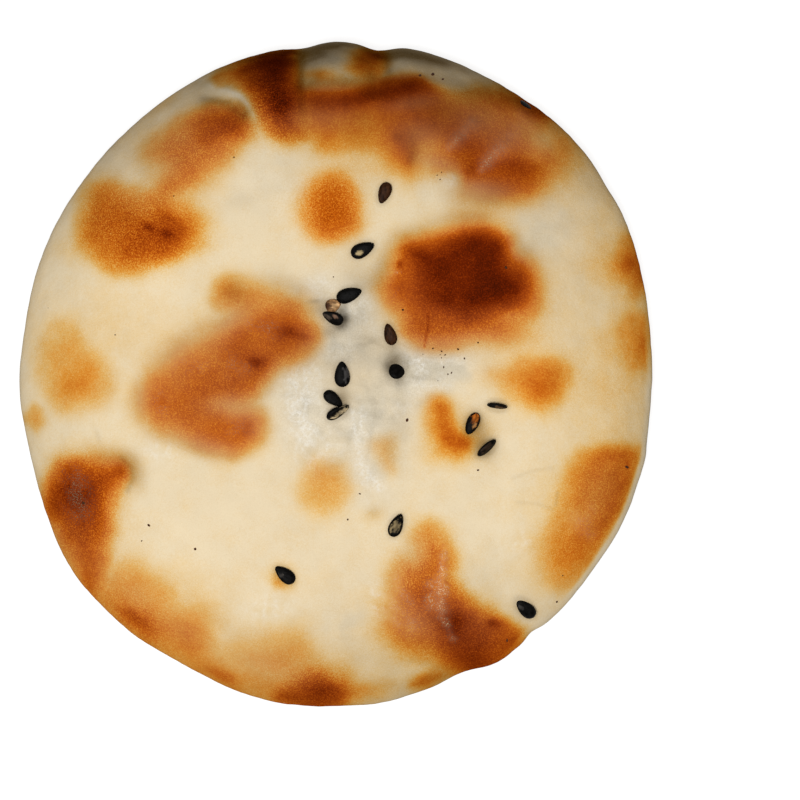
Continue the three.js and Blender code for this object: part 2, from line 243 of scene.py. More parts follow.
SOFT_SPREAD = 70  # degrees that a patch's softer side takes up, either way
OUTLINE_STEPS = 5  # straight steps between two corners
OUTLINE_WANDER = 0.45  # how far a patch's outline strays from its line
PATCHINESS = 0.055  # how uneven a patch's level is

# Darker and lighter places on or beside each patch: middle, half length, half width, turn in degrees, change
# of level
SHADES = {
    "left blister": [
        (-25, 18.6, 4, 3, -20, 0.06), (-33.2, 21.6, 2.2, 3, 0, -0.06), (-30.4, 16.4, 2.6, 1.4, 15, -0.06),
        (-26, 20.7, 1.1, 0.6, -35, 0.2), (-23.4, 19.6, 1.2, 0.8, -20, 0.2),
        (-22.6, 21.8, 2.6, 1.3, -30, 0.18), (-28.6, 17, 1, 0.8, 0, 0.06), (-22, 19.6, 3, 2, 0, 0.06),
        (-24, 16.6, 3, 1.3, 15, 0.08), (-38, 17.6, 2, 2, 0, 0.08),
    ],
    "top left blister": [
        (-14.6, 35.4, 3.4, 2, -8, 0.1), (-24, 29, 3, 2, 0, -0.06), (-23.5, 26, 2.6, 1.6, 0, 0.22),
        (-16.8, 36, 1.6, 1.2, 30, 0.05), (-20.5, 26.4, 5, 3, 25, 0.13),
    ],
    "scorched fold": [
        (-8.8, 43.4, 3, 2.4, 0, 0.15), (-7.4, 39.8, 2.2, 3.4, -15, 0.12), (-15, 42.4, 2.4, 1.4, 25, -0.19),
        (-12.2, 41.4, 2, 1, 25, -0.08), (-6.6, 37.7, 1.8, 1.6, 0, 0.12),
    ],
    "back crest": [
        (3, 35.4, 6, 2.2, 0, -0.11), (11, 35.6, 4, 2.5, 0, 0.08), (-2, 35.4, 3.4, 1.8, 0, 0.06),
        (9.3, 33, 1.2, 1.6, 0, 0.08), (10.6, 30.2, 1.2, 1.4, 0, 0.08), (9.8, 39.7, 3.4, 1.1, 5, 0.09),
        (20.5, 39, 3.5, 1.2, -15, 0.08), (4.9, 44.7, 2.2, 1.2, 0, 0.1), (6.5, 28.2, 3, 1.6, 0, 0.1),
        (-2, 42, 2.4, 1.1, 0, 0.3), (2, 29.6, 6, 1.8, 0, 0.08),
    ],
    "top right blister": [
        (18.6, 28.4, 1.8, 1.8, 0, 0.14), (16.6, 27.2, 1.4, 1.2, -40, -0.14),
        (23, 36.6, 2.4, 1.6, 0, -0.07), (28.8, 33.4, 2, 2, -45, -0.06), (18.2, 32.4, 3.4, 2.6, 0, 0.12),
        (24.5, 26.6, 4, 1.6, 0, 0.06), (25.5, 29, 4, 1.6, 0, 0.14), (21, 28.6, 2, 1.5, 0, 0.06),
        (27.8, 38.2, 2.6, 1, -45, 0.14), (31.5, 29.5, 3, 3.4, 0, 0.22), (31.8, 33, 2.6, 2.6, -45, 0.16),
        (23.4, 25, 6, 2.4, 0, 0.26), (14.6, 29, 2.4, 1.8, 0, 0.16), (26.6, 35.4, 2.6, 2, -45, -0.06),
    ],
    "round blister": [(-0.6, 23.4, 2.6, 2.8, 0, 0.05)],
    "dark blister": [
        (12.6, 11.4, 1.6, 2.4, 0, 0.06), (23, 12.5, 3.2, 1.8, 0, 0.05), (20, 18.6, 3, 1.3, 0, 0.06),
        (12, 17.2, 1.8, 0.9, 10, 0.04), (25.5, 7.4, 3.4, 1.5, -10, -0.08), (15, 6.6, 4, 1.4, 5, 0.05),
        (19, 22.6, 3, 1, 0, 0.1), (25.2, 16.8, 1.6, 2.6, -35, -0.08), (23.2, 16.4, 1.4, 2.4, -20, 0.05),
        (30.5, 9.6, 3, 3, 0, 0.05), (8.8, 15.2, 0.5, 0.4, 0, 0.22), (25.4, 5.2, 4.2, 2.2, 0, 0.2),
    ],
    "pressed middle and beside it": [
        (18, -9.6, 1.3, 1.3, 0, 0.1), (13.6, -10, 1, 1.2, 0, -0.06), (22, 0.4, 2.6, 1.6, 0, 0.12),
        (28.7, -2.2, 1.3, 1.3, 0, 0.04), (14.8, -5.2, 1, 1, 0, 0.06), (16.1, -8.4, 1.4, 1.4, 0, 0.1),
        (19.4, -8.4, 2.8, 3.2, 0, 0.19),
    ],
    "middle left blister": [
        (-14.6, -4.3, 3.2, 1.4, -8, -0.16), (-18, 5.2, 3.5, 1.2, 30, -0.05),
        (-6.4, 5.8, 1.5, 0.9, -35, 0.14), (-4.3, 4.9, 1, 0.7, -25, 0.08),
        (-10.8, 1.8, 1.3, 0.8, -30, 0.18), (-9.4, 7.2, 2.6, 1.5, -10, 0.06),
        (-11.2, 1.2, 2.4, 2.2, 0, 0.06), (-14, 11.6, 2.2, 1.8, 0, 0.02), (-11.8, 9.6, 2, 1.4, 0, 0.05),
        (-15, -0.6, 13, 7, 40, -0.025), (-20.5, 1.4, 2.4, 1.2, 10, 0.05),
        (-17.4, -4.6, 1.8, 1.6, 0, -0.05), (-25.4, -3.6, 1.6, 3, 0, 0.07), (-4.8, 7, 2.2, 2, 0, 0.1),
        (-12.3, -7.6, 1.8, 1.2, 30, 0.08), (-4.6, 11.4, 4.6, 2, -15, 0.09),
    ],
    "left edge": [
        (-36.2, -1.8, 2.6, 2, 0, 0.08), (-38.4, 5, 2.2, 1.8, 0, -0.08), (-35, 1.6, 1.6, 1.4, 0, 0.04),
    ],
    "left dark blister": [
        (-35.3, -17, 3.6, 4.4, 0, 0.28), (-39.2, -17.8, 1.6, 3, 15, 0.14),
        (-36.8, -13.4, 2.4, 1.6, 0, 0.07), (-30.8, -15.2, 1.6, 1.6, 0, 0.06),
        (-31, -13.6, 2.4, 1.6, -10, 0.06), (-38.4, -13, 2.4, 1.6, 20, 0.07),
        (-36.4, -26.4, 2, 4, 20, -0.13), (-29.6, -13.6, 1.4, 1.4, 0, 0.12),
    ],
    "front edge": [
        (-2.4, -41.2, 3.6, 1.8, 0, 0.05), (-27.6, -34.2, 2.6, 1.4, -40, 0.2),
        (-19.3, -37.4, 2, 2.4, 0, 0.09), (-22, -35.5, 2.5, 2, 0, 0.04),
        (-15.4, -42.4, 2.8, 1.1, -25, 0.16), (-2.6, -44, 2.4, 2, 0, 0.22),
        (-6, -45.4, 2.6, 0.9, -10, 0.08), (5, -44.2, 3.5, 1.4, 10, 0.2), (-10, -41.6, 3, 1.2, -15, -0.08),
        (-19, -31, 5, 4, 0, 0.05), (-14, -36, 4, 2, 0, 0.05), (-5, -37.5, 5, 2.6, 0, 0.05),
    ],
    "lower right lobe": [
        (14.6, -32.6, 2.6, 2.6, 0, 0.05), (18.4, -37.6, 2.4, 1.6, 10, -0.03), (9.8, -31.2, 1.6, 2, 0, 0.1),
        (13.2, -30.8, 1.2, 2, 0, 0.06), (13.5, -23, 2, 2.6, 0, -0.08), (17.6, -34.4, 1.8, 2.4, 0, 0.1),
        (20.2, -41, 3, 1, 22, 0.15), (8, -36.6, 4, 2.6, -30, 0.08), (22.6, -37.2, 2, 1.4, 20, -0.1),
        (16.4, -34, 2, 2, 0, 0.05), (12.5, -42.8, 1.6, 0.9, 25, 0.1), (22.3, -34.9, 1, 0.8, -10, 0.22),
        (11.5, -30.2, 2, 1.6, 0, 0.06),
    ],
    "right blister": [
        (38.4, -12, 3, 1.4, 0, 0.04), (34.4, -18.4, 3, 4, -20, -0.02), (34, -24.6, 3, 4, -35, 0.07),
        (29, -21, 4, 8, -20, 0.06), (38.5, -11.2, 3.6, 1.2, 0, 0.1), (40.8, -12.7, 0.5, 0.4, 0, 0.1),
        (38.6, -17.6, 2, 5, -26, 0.09), (32.5, -27, 2.2, 3.4, -25, -0.05),
    ],
    "right edge": [
        (42.3, 7, 1, 2, 0, -0.08), (40.8, 15.4, 1.4, 1.8, 0, 0.09), (41.8, 9.6, 1.2, 2.4, 0, 0.08),
    ],
    "pale skin": [
        (-8.2, -28.6, 1, 1.2, 0, 0.16), (-7, -29.4, 1.2, 0.7, 0, 0.08), (5.8, -19, 1.3, 0.9, 20, 0.12),
        (36, 15.2, 3.6, 1.8, 0, 0.08), (-6.9, -28.1, 2.2, 1.9, -35, 0.2), (-31, 7, 9, 5, 0, 0.08),
        (37, -2, 8, 10, 0, 0.12), (37, 19, 6, 7, 0, 0.09), (-24, 38.2, 3, 0.8, 35, 0.1),
    ],
}

# Narrow darker or paler streaks: path, half width, change of level
STREAKS = [
    ([(-3.2, 38.2), (1.3, 38.6), (6.4, 39.8), (12.4, 40.4)], 2, 0.25),
    ([(12.7, 9), (12.8, 4.2)], 0.15, 0.16), ([(41.2, -14), (36.6, -24)], 0.9, 0.06),
    ([(-17.6, 40.5), (-15, 39.8), (-13.1, 38.9), (-12.1, 37.6), (-11.6, 36)], 0.6, -0.14),
]

# Along the edge: bearing and spread in degrees, how far in it reaches, and the change of level or the share
# of painted shade
EDGE_BROWNING = [
    (278, 24, 13, 0.06), (225, 16, 8, 0.1), (2, 26, 6, 0.06), (44, 9, 4, 0.14), (128, 14, 6, 0.03),
]
# Painted shade along the edge, strongest at the back, where the crust turns away from the lamp
EDGE_SHADE = [
    (84, 34, 17, 0.33), (96, 9, 2.2, 0.44), (76, 8, 2.2, 0.4), (86, 16, 1.2, 0.3), (94, 4, 4.5, 0.32),
    (80, 2.5, 3, 0.24), (58, 14, 1.6, 0.45), (107, 12, 2.4, 0.28), (134, 14, 4, 0.2), (277, 24, 15, 0.24),
    (250, 12, 3, 0.07), (289, 6, 2.2, 0.2),
]
EDGE_SHADE_UNEVEN = 0.22
SKIN_TONE = 0.025  # a slight uneven tone all over
FULL_TONE = 0.9  # the most that the edge's painted shade, and likewise the slight tone, darkens
FULL_TONE_HEIGHT = 5.6  # the tones and the painted shade fade out from this height down to the base
EDGE_STRIP = (336, 30, 0.8)  # bearing and spread of a pale strip at the very edge, and its width

# Greyish pale skin: middle, half length, half width, turn in degrees, share
PALE_SKIN = [
    (-4, -4.5, 3.6, 6.5, 8, 0.8), (1, 3.5, 4, 3, 0, 0.8), (2, 8.5, 3.6, 3.6, 0, 0.9),
    (-2.5, 12.6, 3, 1.8, 15, 0.6), (10.6, 0.5, 5, 4.6, 0, 0.9), (4.5, -6.5, 5, 4, 10, 0.8),
    (16, 1.2, 5, 2.4, 0, 0.7), (5, -13, 4, 4, 0, 0.45), (1.4, -34.9, 3.6, 3.6, 0, 0.3),
    (31, 21, 6, 4, -40, 0.3), (15, 25.6, 4, 2.4, 10, 0.15), (-10, 27, 5, 4, 20, 0.25),
    # The four rows from here on, on the upper left and back rims, grey the crust there, partly as painted
    # shade of the rims
    (-22.6, 37, 4.6, 1.8, 36, 0.9), (-31, 29.5, 3, 2, 45, 0.6), (13, 43, 8, 2.5, -15, 0.6),
    (-1, 44.2, 4, 1.6, 0, 0.6),
]
GREY_COVER = 0.4  # how much of the pale skin is grey
GREY_UNEVEN = 0.8

# Grey or scorched marks, partly painted shade of hollows and folds, on or beside each patch: middle, half
# length, half width, turn in degrees, share
MARKS_AND_SHADE = {
    "top left blister": [(-17.4, 38.8, 3, 1.2, 20, 0.12), (-12, 36.2, 2.2, 2, 0, 0.22)],
    "scorched fold": [(-4.6, 37.2, 1.4, 2.4, 0, 0.18), (-3.2, 43.4, 2, 2, 0, 0.24)],
    "back crest": [
        (-4.6, 38.6, 1, 2, 0, 0.3), (5, 36, 12, 4, -2, 0.25), (10.9, 31.6, 1.1, 2.2, 0, 0.26),
        (0.6, 41.2, 3.4, 1.2, 0, 0.2), (7, 40.4, 3.4, 1, 8, 0.24), (-2.5, 37.6, 2, 1.4, 0, 0.18),
        (-0.5, 39.7, 3.5, 0.9, 3, 0.26), (10, 41, 3, 0.8, 5, 0.12), (18, 39.6, 4, 1.4, -15, 0.2),
        (0, 44, 2.2, 1.4, 0, 0.2), (20.5, 39, 3.5, 1.2, -15, 0.14),
    ],
    "top right blister": [
        (21, 24.2, 4, 1.4, 0, 0.14), (18, 29, 3, 3, 0, 0.24), (23, 26, 5, 2.4, 8, 0.18),
        (15, 35.6, 5, 3.6, 0, 0.26),
    ],
    "dark blister": [
        (27, 20.6, 4, 4, 0, 0.08), (9.8, 19.4, 3.6, 1.5, 20, 0.16), (6.6, 14.8, 1.4, 3, -12, 0.24),
        (26, 16.4, 2.2, 3.4, -35, 0.16), (17, 10, 12, 8, 0, 0.06), (18.5, 22, 4, 1.2, 0, 0.16),
        (4.2, 12.8, 2, 1.6, 0, 0.2), (28.6, 11.6, 1.6, 4, 0, 0.05),
    ],
    "pressed middle and beside it": [
        (4, 3, 11, 9, 0, 0.17), (0.2, 2.2, 2.4, 2, 0, 0.14), (4.4, 6, 3, 2, 0, 0.12),
        (20.8, -9.8, 1.8, 2, 40, 0.45), (0.9, 7.4, 1.9, 1.4, -10, 0.35), (-1.6, 9.3, 1.5, 1.2, 0, 0.28),
        (-0.4, 6, 1.3, 0.9, 0, 0.3), (8.2, 1.4, 1.4, 1.6, 0, 0.55), (8.2, 3.2, 1, 1.6, 10, 0.24),
        (9.4, -0.9, 0.7, 1.4, 10, 0.22), (5.4, 5, 2.4, 0.5, -6, 0.16), (4, 3.2, 2.8, 1.8, 20, 0.14),
        (1.2, -4.4, 0.9, 0.9, 0, 0.25), (19.6, -7, 1.7, 1.9, 0, 0.46), (1, -3.2, 1.2, 1.4, 0, 0.52),
        (8.6, -8, 1.2, 4, 0, 0.08), (7.6, -10.2, 1.6, 2.2, 0, 0.14), (0.2, -12.8, 2.6, 1.8, 0, 0.09),
        (9, -3.4, 1.4, 1.6, 0, 0.1), (3.8, 8.4, 1.4, 1.2, 0, 0.1),
    ],
    "middle left blister": [
        (-8, 13.4, 4, 1.6, -20, 0.12), (-4.4, 11, 4, 2.2, -15, 0.1), (-15, -0.6, 13, 7, 40, 0.14),
        (-13.9, 11.6, 2.2, 1.9, 0, 0.26), (-4.6, 4.4, 2.2, 1.6, 0, 0.1),
    ],
    "left dark blister": [
        (-28, -13.6, 1.5, 2.6, 15, 0.25), (-31, -11.6, 3.2, 1.4, -8, 0.2), (-33, -8.6, 0.4, 1.2, 20, 0.12),
    ],
    "lower right lobe": [(26.4, -32.4, 1.4, 1.2, 0, 0.1), (15, -33, 7, 6, 0, 0.06)],
    "right blister": [(38.6, -16.4, 3, 6, -25, 0.09)],
    "pale skin": [
        (3, 15, 3, 4, 0, 0.14), (5.6, -19.1, 1.1, 0.9, 20, 0.16), (-13.4, 24.4, 3, 1.2, 20, 0.07),
        (35, 27.6, 4, 2, -50, 0.1),
    ],
}

# Soot beside the burnt seeds, with painted shadow in the hollows beside seeds: middle, half length, half
# width, turn in degrees, share
SOOT_AND_SHADOW = [
    (1.4, 7.9, 0.8, 1, 0, 0.85), (0.8, 6.8, 0.9, 0.6, 0, 0.55), (-2.6, 10.3, 1.2, 0.3, 5, 0.3),
    (1.5, 9.5, 0.45, 0.8, 0, 0.35), (7.5, 1.1, 0.7, 1, 0, 0.45), (8.5, 1.8, 0.9, 0.9, 0, 0.18),
    (0.9, 8.9, 0.5, 0.5, 0, 0.45), (20, -6.1, 0.5, 0.5, 0, 0.5), (21, -10.8, 0.8, 0.4, 20, 0.4),
    (8.9, -21.5, 0.5, 0.4, 0, 0.35), (8.9, -1.1, 0.5, 0.8, 0, 0.28), (8.3, 3.7, 0.8, 1.2, 10, 0.12),
    (19.8, -6.4, 1.4, 1.7, 0, 0.12), (21.1, -10.4, 1.5, 1.4, 30, 0.14), (26.9, -32.8, 1.9, 1.6, -40, 0.08),
    (8.8, -21.2, 1.3, 1.7, 0, 0.08), (1.4, -4.4, 1, 1, 0, 0.14), (10.9, 30.1, 0.8, 1.2, -20, 0.16),
    (8.9, 33.3, 0.8, 0.9, 0, 0.16),
]

# Shadowed creases: path, half width, share
CREASES = [
    ([(-3.4, 40.8), (2, 41), (8, 41.6), (13, 41.6), (18, 40.6), (22.5, 39.4), (25.5, 38.2)], 1, 0.32),
    ([(-4.7, 40.4), (-4.6, 43), (-4.3, 46)], 0.75, 0.58), ([(7.6, 42.4), (7.2, 46)], 0.7, 0.45),
    ([(25, -14.4), (27.6, -13.4), (30.4, -13)], 0.25, 0.09),
    ([(25.6, -17.8), (28.4, -18), (30.6, -18.8)], 0.25, 0.09), ([(31.2, -16.4), (31, -18.2)], 0.22, 0.2),
    ([(5.8, -4), (5.2, -8), (4.6, -12)], 0.35, 0.08), ([(10.8, -0.4), (14.6, -0.6)], 0.25, 0.12),
    ([(7.2, 3.8), (5.4, 4.6), (3.4, 4.2)], 0.3, 0.14),
    ([(-18, 38.6), (-14.8, 38.2), (-12.6, 36.6)], 1.5, 0.32), ([(9.6, -5.4), (9.9, -8.6)], 0.9, 0.1),
    ([(-29.7, -11.6), (-28.3, -13), (-28.1, -14.5), (-28.9, -16.2)], 0.4, 0.22),
    ([(0.4, -7.4), (2, -9)], 0.7, 0.1), ([(5.6, -3.4), (6.6, -5.6)], 0.6, 0.08),
    ([(-1.4, -9.2), (-3.4, -11)], 0.7, 0.08),
]

# Painted glints, moist highlights on the pale skin: middle, half length, half width, turn in degrees, share
GLINTS = [
    (3, 9, 2.4, 2.8, 0, 0.7), (-2.2, 12.4, 2.4, 1.6, 15, 0.6), (-4.6, -4, 2.6, 6.5, 10, 1),
    (-2, -10, 3.4, 2.8, 0, 0.7), (3.8, -10.4, 1.2, 3.4, 18, 0.6), (4.8, -15.4, 1.6, 3.2, 35, 0.6),
    (12, 1.6, 2.8, 1.7, -20, 1), (3.9, -6, 1, 2.6, 10, 0.9), (-3.2, 0, 2, 1.6, 0, 0.7),
    (13.2, -1.6, 3.2, 1.4, 5, 0.6), (1, 3.4, 2.6, 1.6, 0, 0.5), (9, -4.6, 2.4, 1.6, 0, 0.4),
    (16, 27.2, 1.8, 1, -30, 0.7), (-5, 24.5, 3, 5, 0, 0.3), (26.2, -23.4, 3, 2.2, 0, 0.5),
    (-19.4, 29.4, 2, 1.4, 30, 0.4), (6.2, -31.6, 1.2, 2.6, 10, 0.9), (-9, -32.5, 4, 2.6, 30, 0.5),
    (-24, -10.6, 3, 1.8, 10, 0.5),
]
CRUMPLE_BREADTH = 1.2  # how broad the crests are that glint
CRUMPLE_SHARPNESS = 2.0

# Painted highlights in silky white strands of the pressed middle and, the last two, of the folds behind it:
# path, half width, share
GLINT_STRANDS = [
    ([(-3.4, 12.8), (-2.6, 11.6), (-2, 11)], 0.8, 0.55), ([(2.6, 9.6), (4.2, 8.2), (5.8, 6)], 0.9, 0.4),
    ([(-5.4, 2.2), (-3.8, 0.4), (-2.4, -1.8)], 1, 0.5),
    ([(2.5, -5.2), (2.8, -8), (3.6, -10.8)], 0.5, 0.75),
    ([(3.4, -12.2), (4.6, -14), (6.2, -15.6)], 1, 0.75),
    ([(10.2, 2.8), (11.4, 1.6), (12.6, 0.6)], 0.8, 0.6), ([(12.6, 2.4), (15, 1.8), (17.6, 2.2)], 0.7, 0.5),
    ([(-5.8, -3.2), (-4.8, -6.6)], 0.8, 0.6), ([(-4.2, -6), (-3, -9.6)], 0.5, 0.6),
    ([(11.6, -1.2), (13.6, -1.9), (15.8, -1.6)], 0.7, 0.5), ([(9.9, 4.6), (9, 6.6)], 0.35, 0.5),
    ([(0, 4.4), (2, 3.4)], 0.8, 0.25), ([(15.8, 28.4), (16.6, 27.8), (17, 26.8)], 0.4, 0.95),
    ([(-17.4, 40.4), (-14.9, 39.7), (-13.1, 38.9), (-12.1, 37.7)], 0.3, 0.6),
]

# Painted milky sheen on the browned skin: middle, half length, half width, turn in degrees, share
BROAD_SHEEN = [
    (12, 33.4, 4, 2.4, 0, 0.6), (-2, 35.8, 6, 2.2, 0, 0.36), (11, 38, 4, 1.2, 8, 0.45),
    (21, 35.6, 5, 3, -20, 0.65), (22, 25.2, 3, 1.4, 10, 0.6), (27, 34.6, 3, 3, -40, 0.7),
    (-20, 32, 8, 5, 30, 0.12), (-22, 4.4, 6, 1.8, 38, 0.9), (-27.8, -2, 1.4, 4, 10, 0.9),
    (-18, -10.6, 6, 1.6, -15, 0.8), (-14, -38, 16, 6, -25, 0.25), (-10.6, -7.6, 1.8, 2.2, 0, 0.4),
    (-3, 4.6, 1.6, 3, 20, 0.3), (-13, -4.6, 3, 1.4, -10, 0.55), (18, 4.4, 9, 1.3, 4, 0.4),
    (17, 22, 8, 1.3, 5, 0.4), (8, -30, 2.4, 5, 0, 0.4), (11, -34.6, 4, 2.6, -20, 0.45),
    (20, -36, 5, 3.5, 0, 0.25), (-37, -24, 2.6, 4, 15, 0.3), (14, 29.6, 3, 1.2, -15, 0.7),
    (20, 25.8, 2.6, 1.4, 0, 0.8), (-15, 7.6, 3, 1.4, 25, 0.8), (-28, -31, 3, 2, -40, 0.6),
    (-34, -28, 2.6, 2.6, 0, 0.4), (-10, -41, 5, 1.8, -15, 0.8), (-21.5, -36, 4, 2, -30, 0.5),
    (37.6, -17.5, 4, 6, -25, 0.36), (15, -33, 6, 6, 0, 0.12), (-15, -0.6, 14, 7.5, 40, 0.14),
    (17, 9, 11, 6, 0, 0.1),
]

# Patches whose fringe is tan rather than golden: middle, half length, half width, turn in degrees, share
FRINGES = [
    (-15, -0.6, 18, 10, 40, 0.9), (17, 12, 15, 11, 0, 0.7), (-21, 31.4, 10, 6, 30, 0.8),
    (25.5, 16.5, 3, 4.5, -35, 1), (18.5, 27, 3.5, 3, 0, 1), (11.5, -25, 4, 3.5, 0, 0.7),
    (-30, -12.8, 3, 2, 0, 0.4), (13.5, 4, 5, 1.6, 0, 0.8), (-36, -21, 7, 11, 15, 0.5),
    (22, 31, 12, 7, 0, 0.5), (-1, 39.9, 5, 1.2, 0, 1), (11, 41.2, 4, 1, 0, 1), (-14, -38, 16, 6, -25, 0.3),
]

# Blisters of a clear orange: middle, half length, half width, turn in degrees, share
VIVID = [
    (-0.6, 23.5, 6, 6, 0, 1), (23, -0.6, 6, 4, 0, 0.25), (33.4, -24, 4, 5.5, -25, 0.6),
]

# Gritty browned skin: middle, half length, half width, turn in degrees, share
GRIT = [
    (-28, 20.5, 8.5, 6, -20, 0.9), (-0.6, 23.5, 4.5, 4.5, 0, 1), (-19, 32.5, 8, 4, 30, 0.6),
    (-9, 38.5, 3.5, 7, 15, 1), (17, 12, 11, 8, 0, 0.25), (16, 6.6, 9, 2.4, 4, 0.4),
    (22, 32, 9, 6, -20, 0.35), (36, -20, 5, 9, -25, 0.4), (-15, -0.5, 13, 7, 40, 0.35),
    (-35.5, -18, 5, 8, 15, 1), (13, -31, 6, 8, 20, 0.75), (20, -37, 5, 4, 0, 0.45),
    (-3, -43, 6, 3, 0, 0.7), (-27, -34, 6, 3, -40, 0.5),
]

# Ridges and stretches of skin with painted highlights: path, half width, rise, share of painted glint specks,
# share of painted milky sheen
RIDGES = [
    ([(15.4, -23.8), (15.4, -26)], 0.35, 0.12, 0.6, 0.03),
    ([(15.3, -25.4), (15.2, -27.8), (15.5, -30.4)], 0.5, 0.2, 0.8, 0.1),
    ([(14.9, -28.6), (14.7, -31.6), (15, -33.4)], 0.8, 0.16, 0.6, 0.12),
    ([(15, -33), (15.8, -35.2), (16.6, -36.8)], 0.5, 0.16, 0.7, 0.08),
    ([(13.6, -29.6), (13.6, -32)], 0.9, 0.08, 0.5, 0.05),
    ([(8.6, -28.2), (9, -30), (10.6, -31.6)], 0.6, 0.08, 0.35, 0),
    ([(7.4, -31), (8.6, -33.6), (10.4, -35)], 1.2, 0.05, 0.5, 0.02),
    ([(16.1, 31.8), (17.2, 33)], 0.55, 0.12, 0.3, 0.1),
    ([(15.8, 28.4), (16.6, 27.8), (17, 26.8)], 0.3, 0.14, 0, 0),
    ([(16.8, 32.6), (19.4, 35.2)], 1, 0.14, 0.1, 0.12),
    ([(20.5, 28.6), (21.6, 30.2)], 0.45, 0.16, 0.45, 0.12),
    ([(21.2, 29.6), (23.4, 32)], 0.9, 0.2, 0.25, 0.14),
    ([(22.8, 31.4), (25.8, 34.6)], 1.3, 0.16, 0.1, 0.12),
    ([(26.4, 36.5), (28.2, 34.2), (29.6, 32)], 1.2, 0.12, 0.12, 0.18),
    ([(34, -20.2), (35.8, -22.2)], 1, 0.06, 0.45, 0.1),
    ([(36, -19), (35.2, -21.4)], 0.8, 0.06, 0.35, 0.08),
    ([(-37, -14.4), (-36.2, -16.6), (-35.9, -19)], 1.8, 0, 0.34, 0),
    ([(-21.6, 1.4), (-18.6, 1.2)], 1, 0, 0.16, 0), ([(-15.2, 2.2), (-12.8, 1)], 1, 0, 0.18, 0),
    ([(-11.6, 7.4), (-8.6, 6.4)], 1.1, 0, 0.2, 0), ([(-24.8, -2.6), (-24, -5)], 0.9, 0, 0.14, 0),
    ([(-14.6, -7.4), (-11.8, -6.8)], 1, 0, 0.16, 0), ([(7, 14), (9.2, 14.4)], 0.18, 0.06, 0.4, 0),
    ([(7.4, 9.4), (9, 11.2)], 0.8, 0, 0.2, 0),
]
# How much of a ridge takes painted glint specks, and how uneven its painted sheen is
RIDGE_GLINT_COVER = 0.75
RIDGE_SHEEN_UNEVEN = 0.35

# Folds without painted glints: path, half width, rise
FOLDS = [
    ([(-17.6, 40.5), (-15, 39.8), (-13.1, 38.9), (-12, 37.5), (-11.4, 35.6)], 0.8, 0.2),
    ([(-18.5, 39.2), (-14.4, 38.6), (-12.9, 36.6)], 0.6, -0.35), ([(12.7, 9.2), (12.8, 4.6)], 0.3, -0.15),
    ([(11, -40.6), (18, -42.2)], 0.6, -0.4), ([(-17, 37.8), (-13, 36.2)], 0.25, 0.1),
]

# Crust colours as they look in even white light, by level of browning
BROWNING_COLOURS = [
    (0, (238, 219, 184)), (0.12, (237, 206, 152)), (0.24, (233, 183, 102)), (0.36, (228, 150, 51)),
    (0.48, (209, 111, 24)), (0.58, (184, 84, 16)), (0.7, (150, 58, 8)), (0.84, (112, 34, 4)),
    (1, (66, 18, 4)),
]
PALE_SKIN_COLOUR = (230, 220, 199)
GREY_SKIN_COLOUR = (208, 197, 174)
# painted highlight of the glints
GLINT_COLOUR = (250, 246, 236)
# painted sheen of the browned skin
BROAD_SHEEN_COLOUR = (194, 150, 110)
FRINGE_COLOUR = (188, 156, 123)
VIVID_COLOUR = (240, 122, 6)
# painted sheen along the ridges
RIDGE_SHEEN_COLOUR = (222, 182, 150)
# painted glint specks along the ridges
RIDGE_GLINT_COLOUR = (248, 212, 162)
# soot, with painted shadow beside the seeds
SOOT_AND_SHADOW_COLOUR = (42, 33, 25)
TONE_AND_SHADE_COLOUR = (93, 72, 0)  # what full tone and painted shade multiply the crust's colour by

# Grain of the crust's material: scale, detail, roughness
GRAIN = (2200, 3, 0.6)
SPECKLE = (6000, 2, 0.6)
MOTTLE = (300, 5, 0.6)
BUMP_OF_SPECKLE = 0.5
BUMP_STRENGTH = 0.35
BUMP_DISTANCE = 0.00012

# Spreads of the crust's material: a value's low and high end, and what each end becomes
GRAIN_SHIFT = (0.3, 0.7, -0.026, 0.026)
MOTTLE_SHIFT = (0.3, 0.7, -0.03, 0.045)
SPECKLE_SWING = (0.3, 0.7, -1, 1)
SPECKLE_BY_GRIT = (0, 1, 0.09, 0.22)
SPECKLE_BY_PALE_SKIN = (0, 1, 0.03, 0.11)
GRAIN_BY_BROWNING = (0.05, 0.45, 0.4, 1)
# Painted sparkle highlights: lighter specks of the browned skin
SPARKLE_BY_SPECKLE = (0.6, 0.7, 0, -0.12)
SPARKLE_BY_BROWNING = (0.2, 0.5, 0, 1)
BARE_BY_BROWNING = (0.05, 0.35, 1, 0)
GLINT_BY_GRAIN = (0.4, 0.64, 0.15, 0.8)
# where the painted sheen shows, by browning
BROAD_SHEEN_IN = (0.05, 0.3, 0, 0.55)
BROAD_SHEEN_OUT = (0.55, 0.85, 1, 0)
FRINGE_IN = (0.02, 0.12, 0, 0.42)
FRINGE_OUT = (0.3, 0.55, 1, 0)
VIVID_IN = (0.05, 0.3, 0, 0.18)
RIDGE_GLINT_BY_SPECKLE = (0.52, 0.64, 0, 1.5)
ROUGHNESS_BY_BROWNING = (0.1, 0.6, 0.6, 0.45)

# Sesame seeds
SEED_LENGTH = 3.35
SEED_WIDTH = 1.8
SEED_THICKNESS = 1.0
SEED_TIP_TAPER = 0.3
SEED_SUNK = 0.3
SEED_RINGS = 30
SEED_SIDES = 40
SEED_HOLLOW = 0.16  # how much the middle of a face sinks below its rim
SEED_HOLLOW_REACH = 0.6
SLOPE_REACH = SEED_WIDTH / 4  # how far from a seed's middle the slope under it is measured
BLACK_HULL = (13, 12, 11)
BROWN_HULL = (50, 29, 15)
TAN_HULL = (142, 106, 70)
HULL_UNEVEN = 0.7
HULL_SHIFT = 10  # how far apart two seeds' noises are taken
HULL_GRAIN = (3600, 3)  # scale and detail
HULL_BUMP = 0.5
HULL_ROUGHNESS = 0.45
HULL_SHINE = 0.04
WEAR_AND_SHEEN_EDGE = 1.15  # where a worn place or spot of painted sheen starts, in half lengths and widths of it
WEAR_AND_SHEEN_FADE = 0.4
WEAR_AND_SHEEN_WANDER = 0.6
WEAR_AND_SHEEN_UNEVEN = 0.8
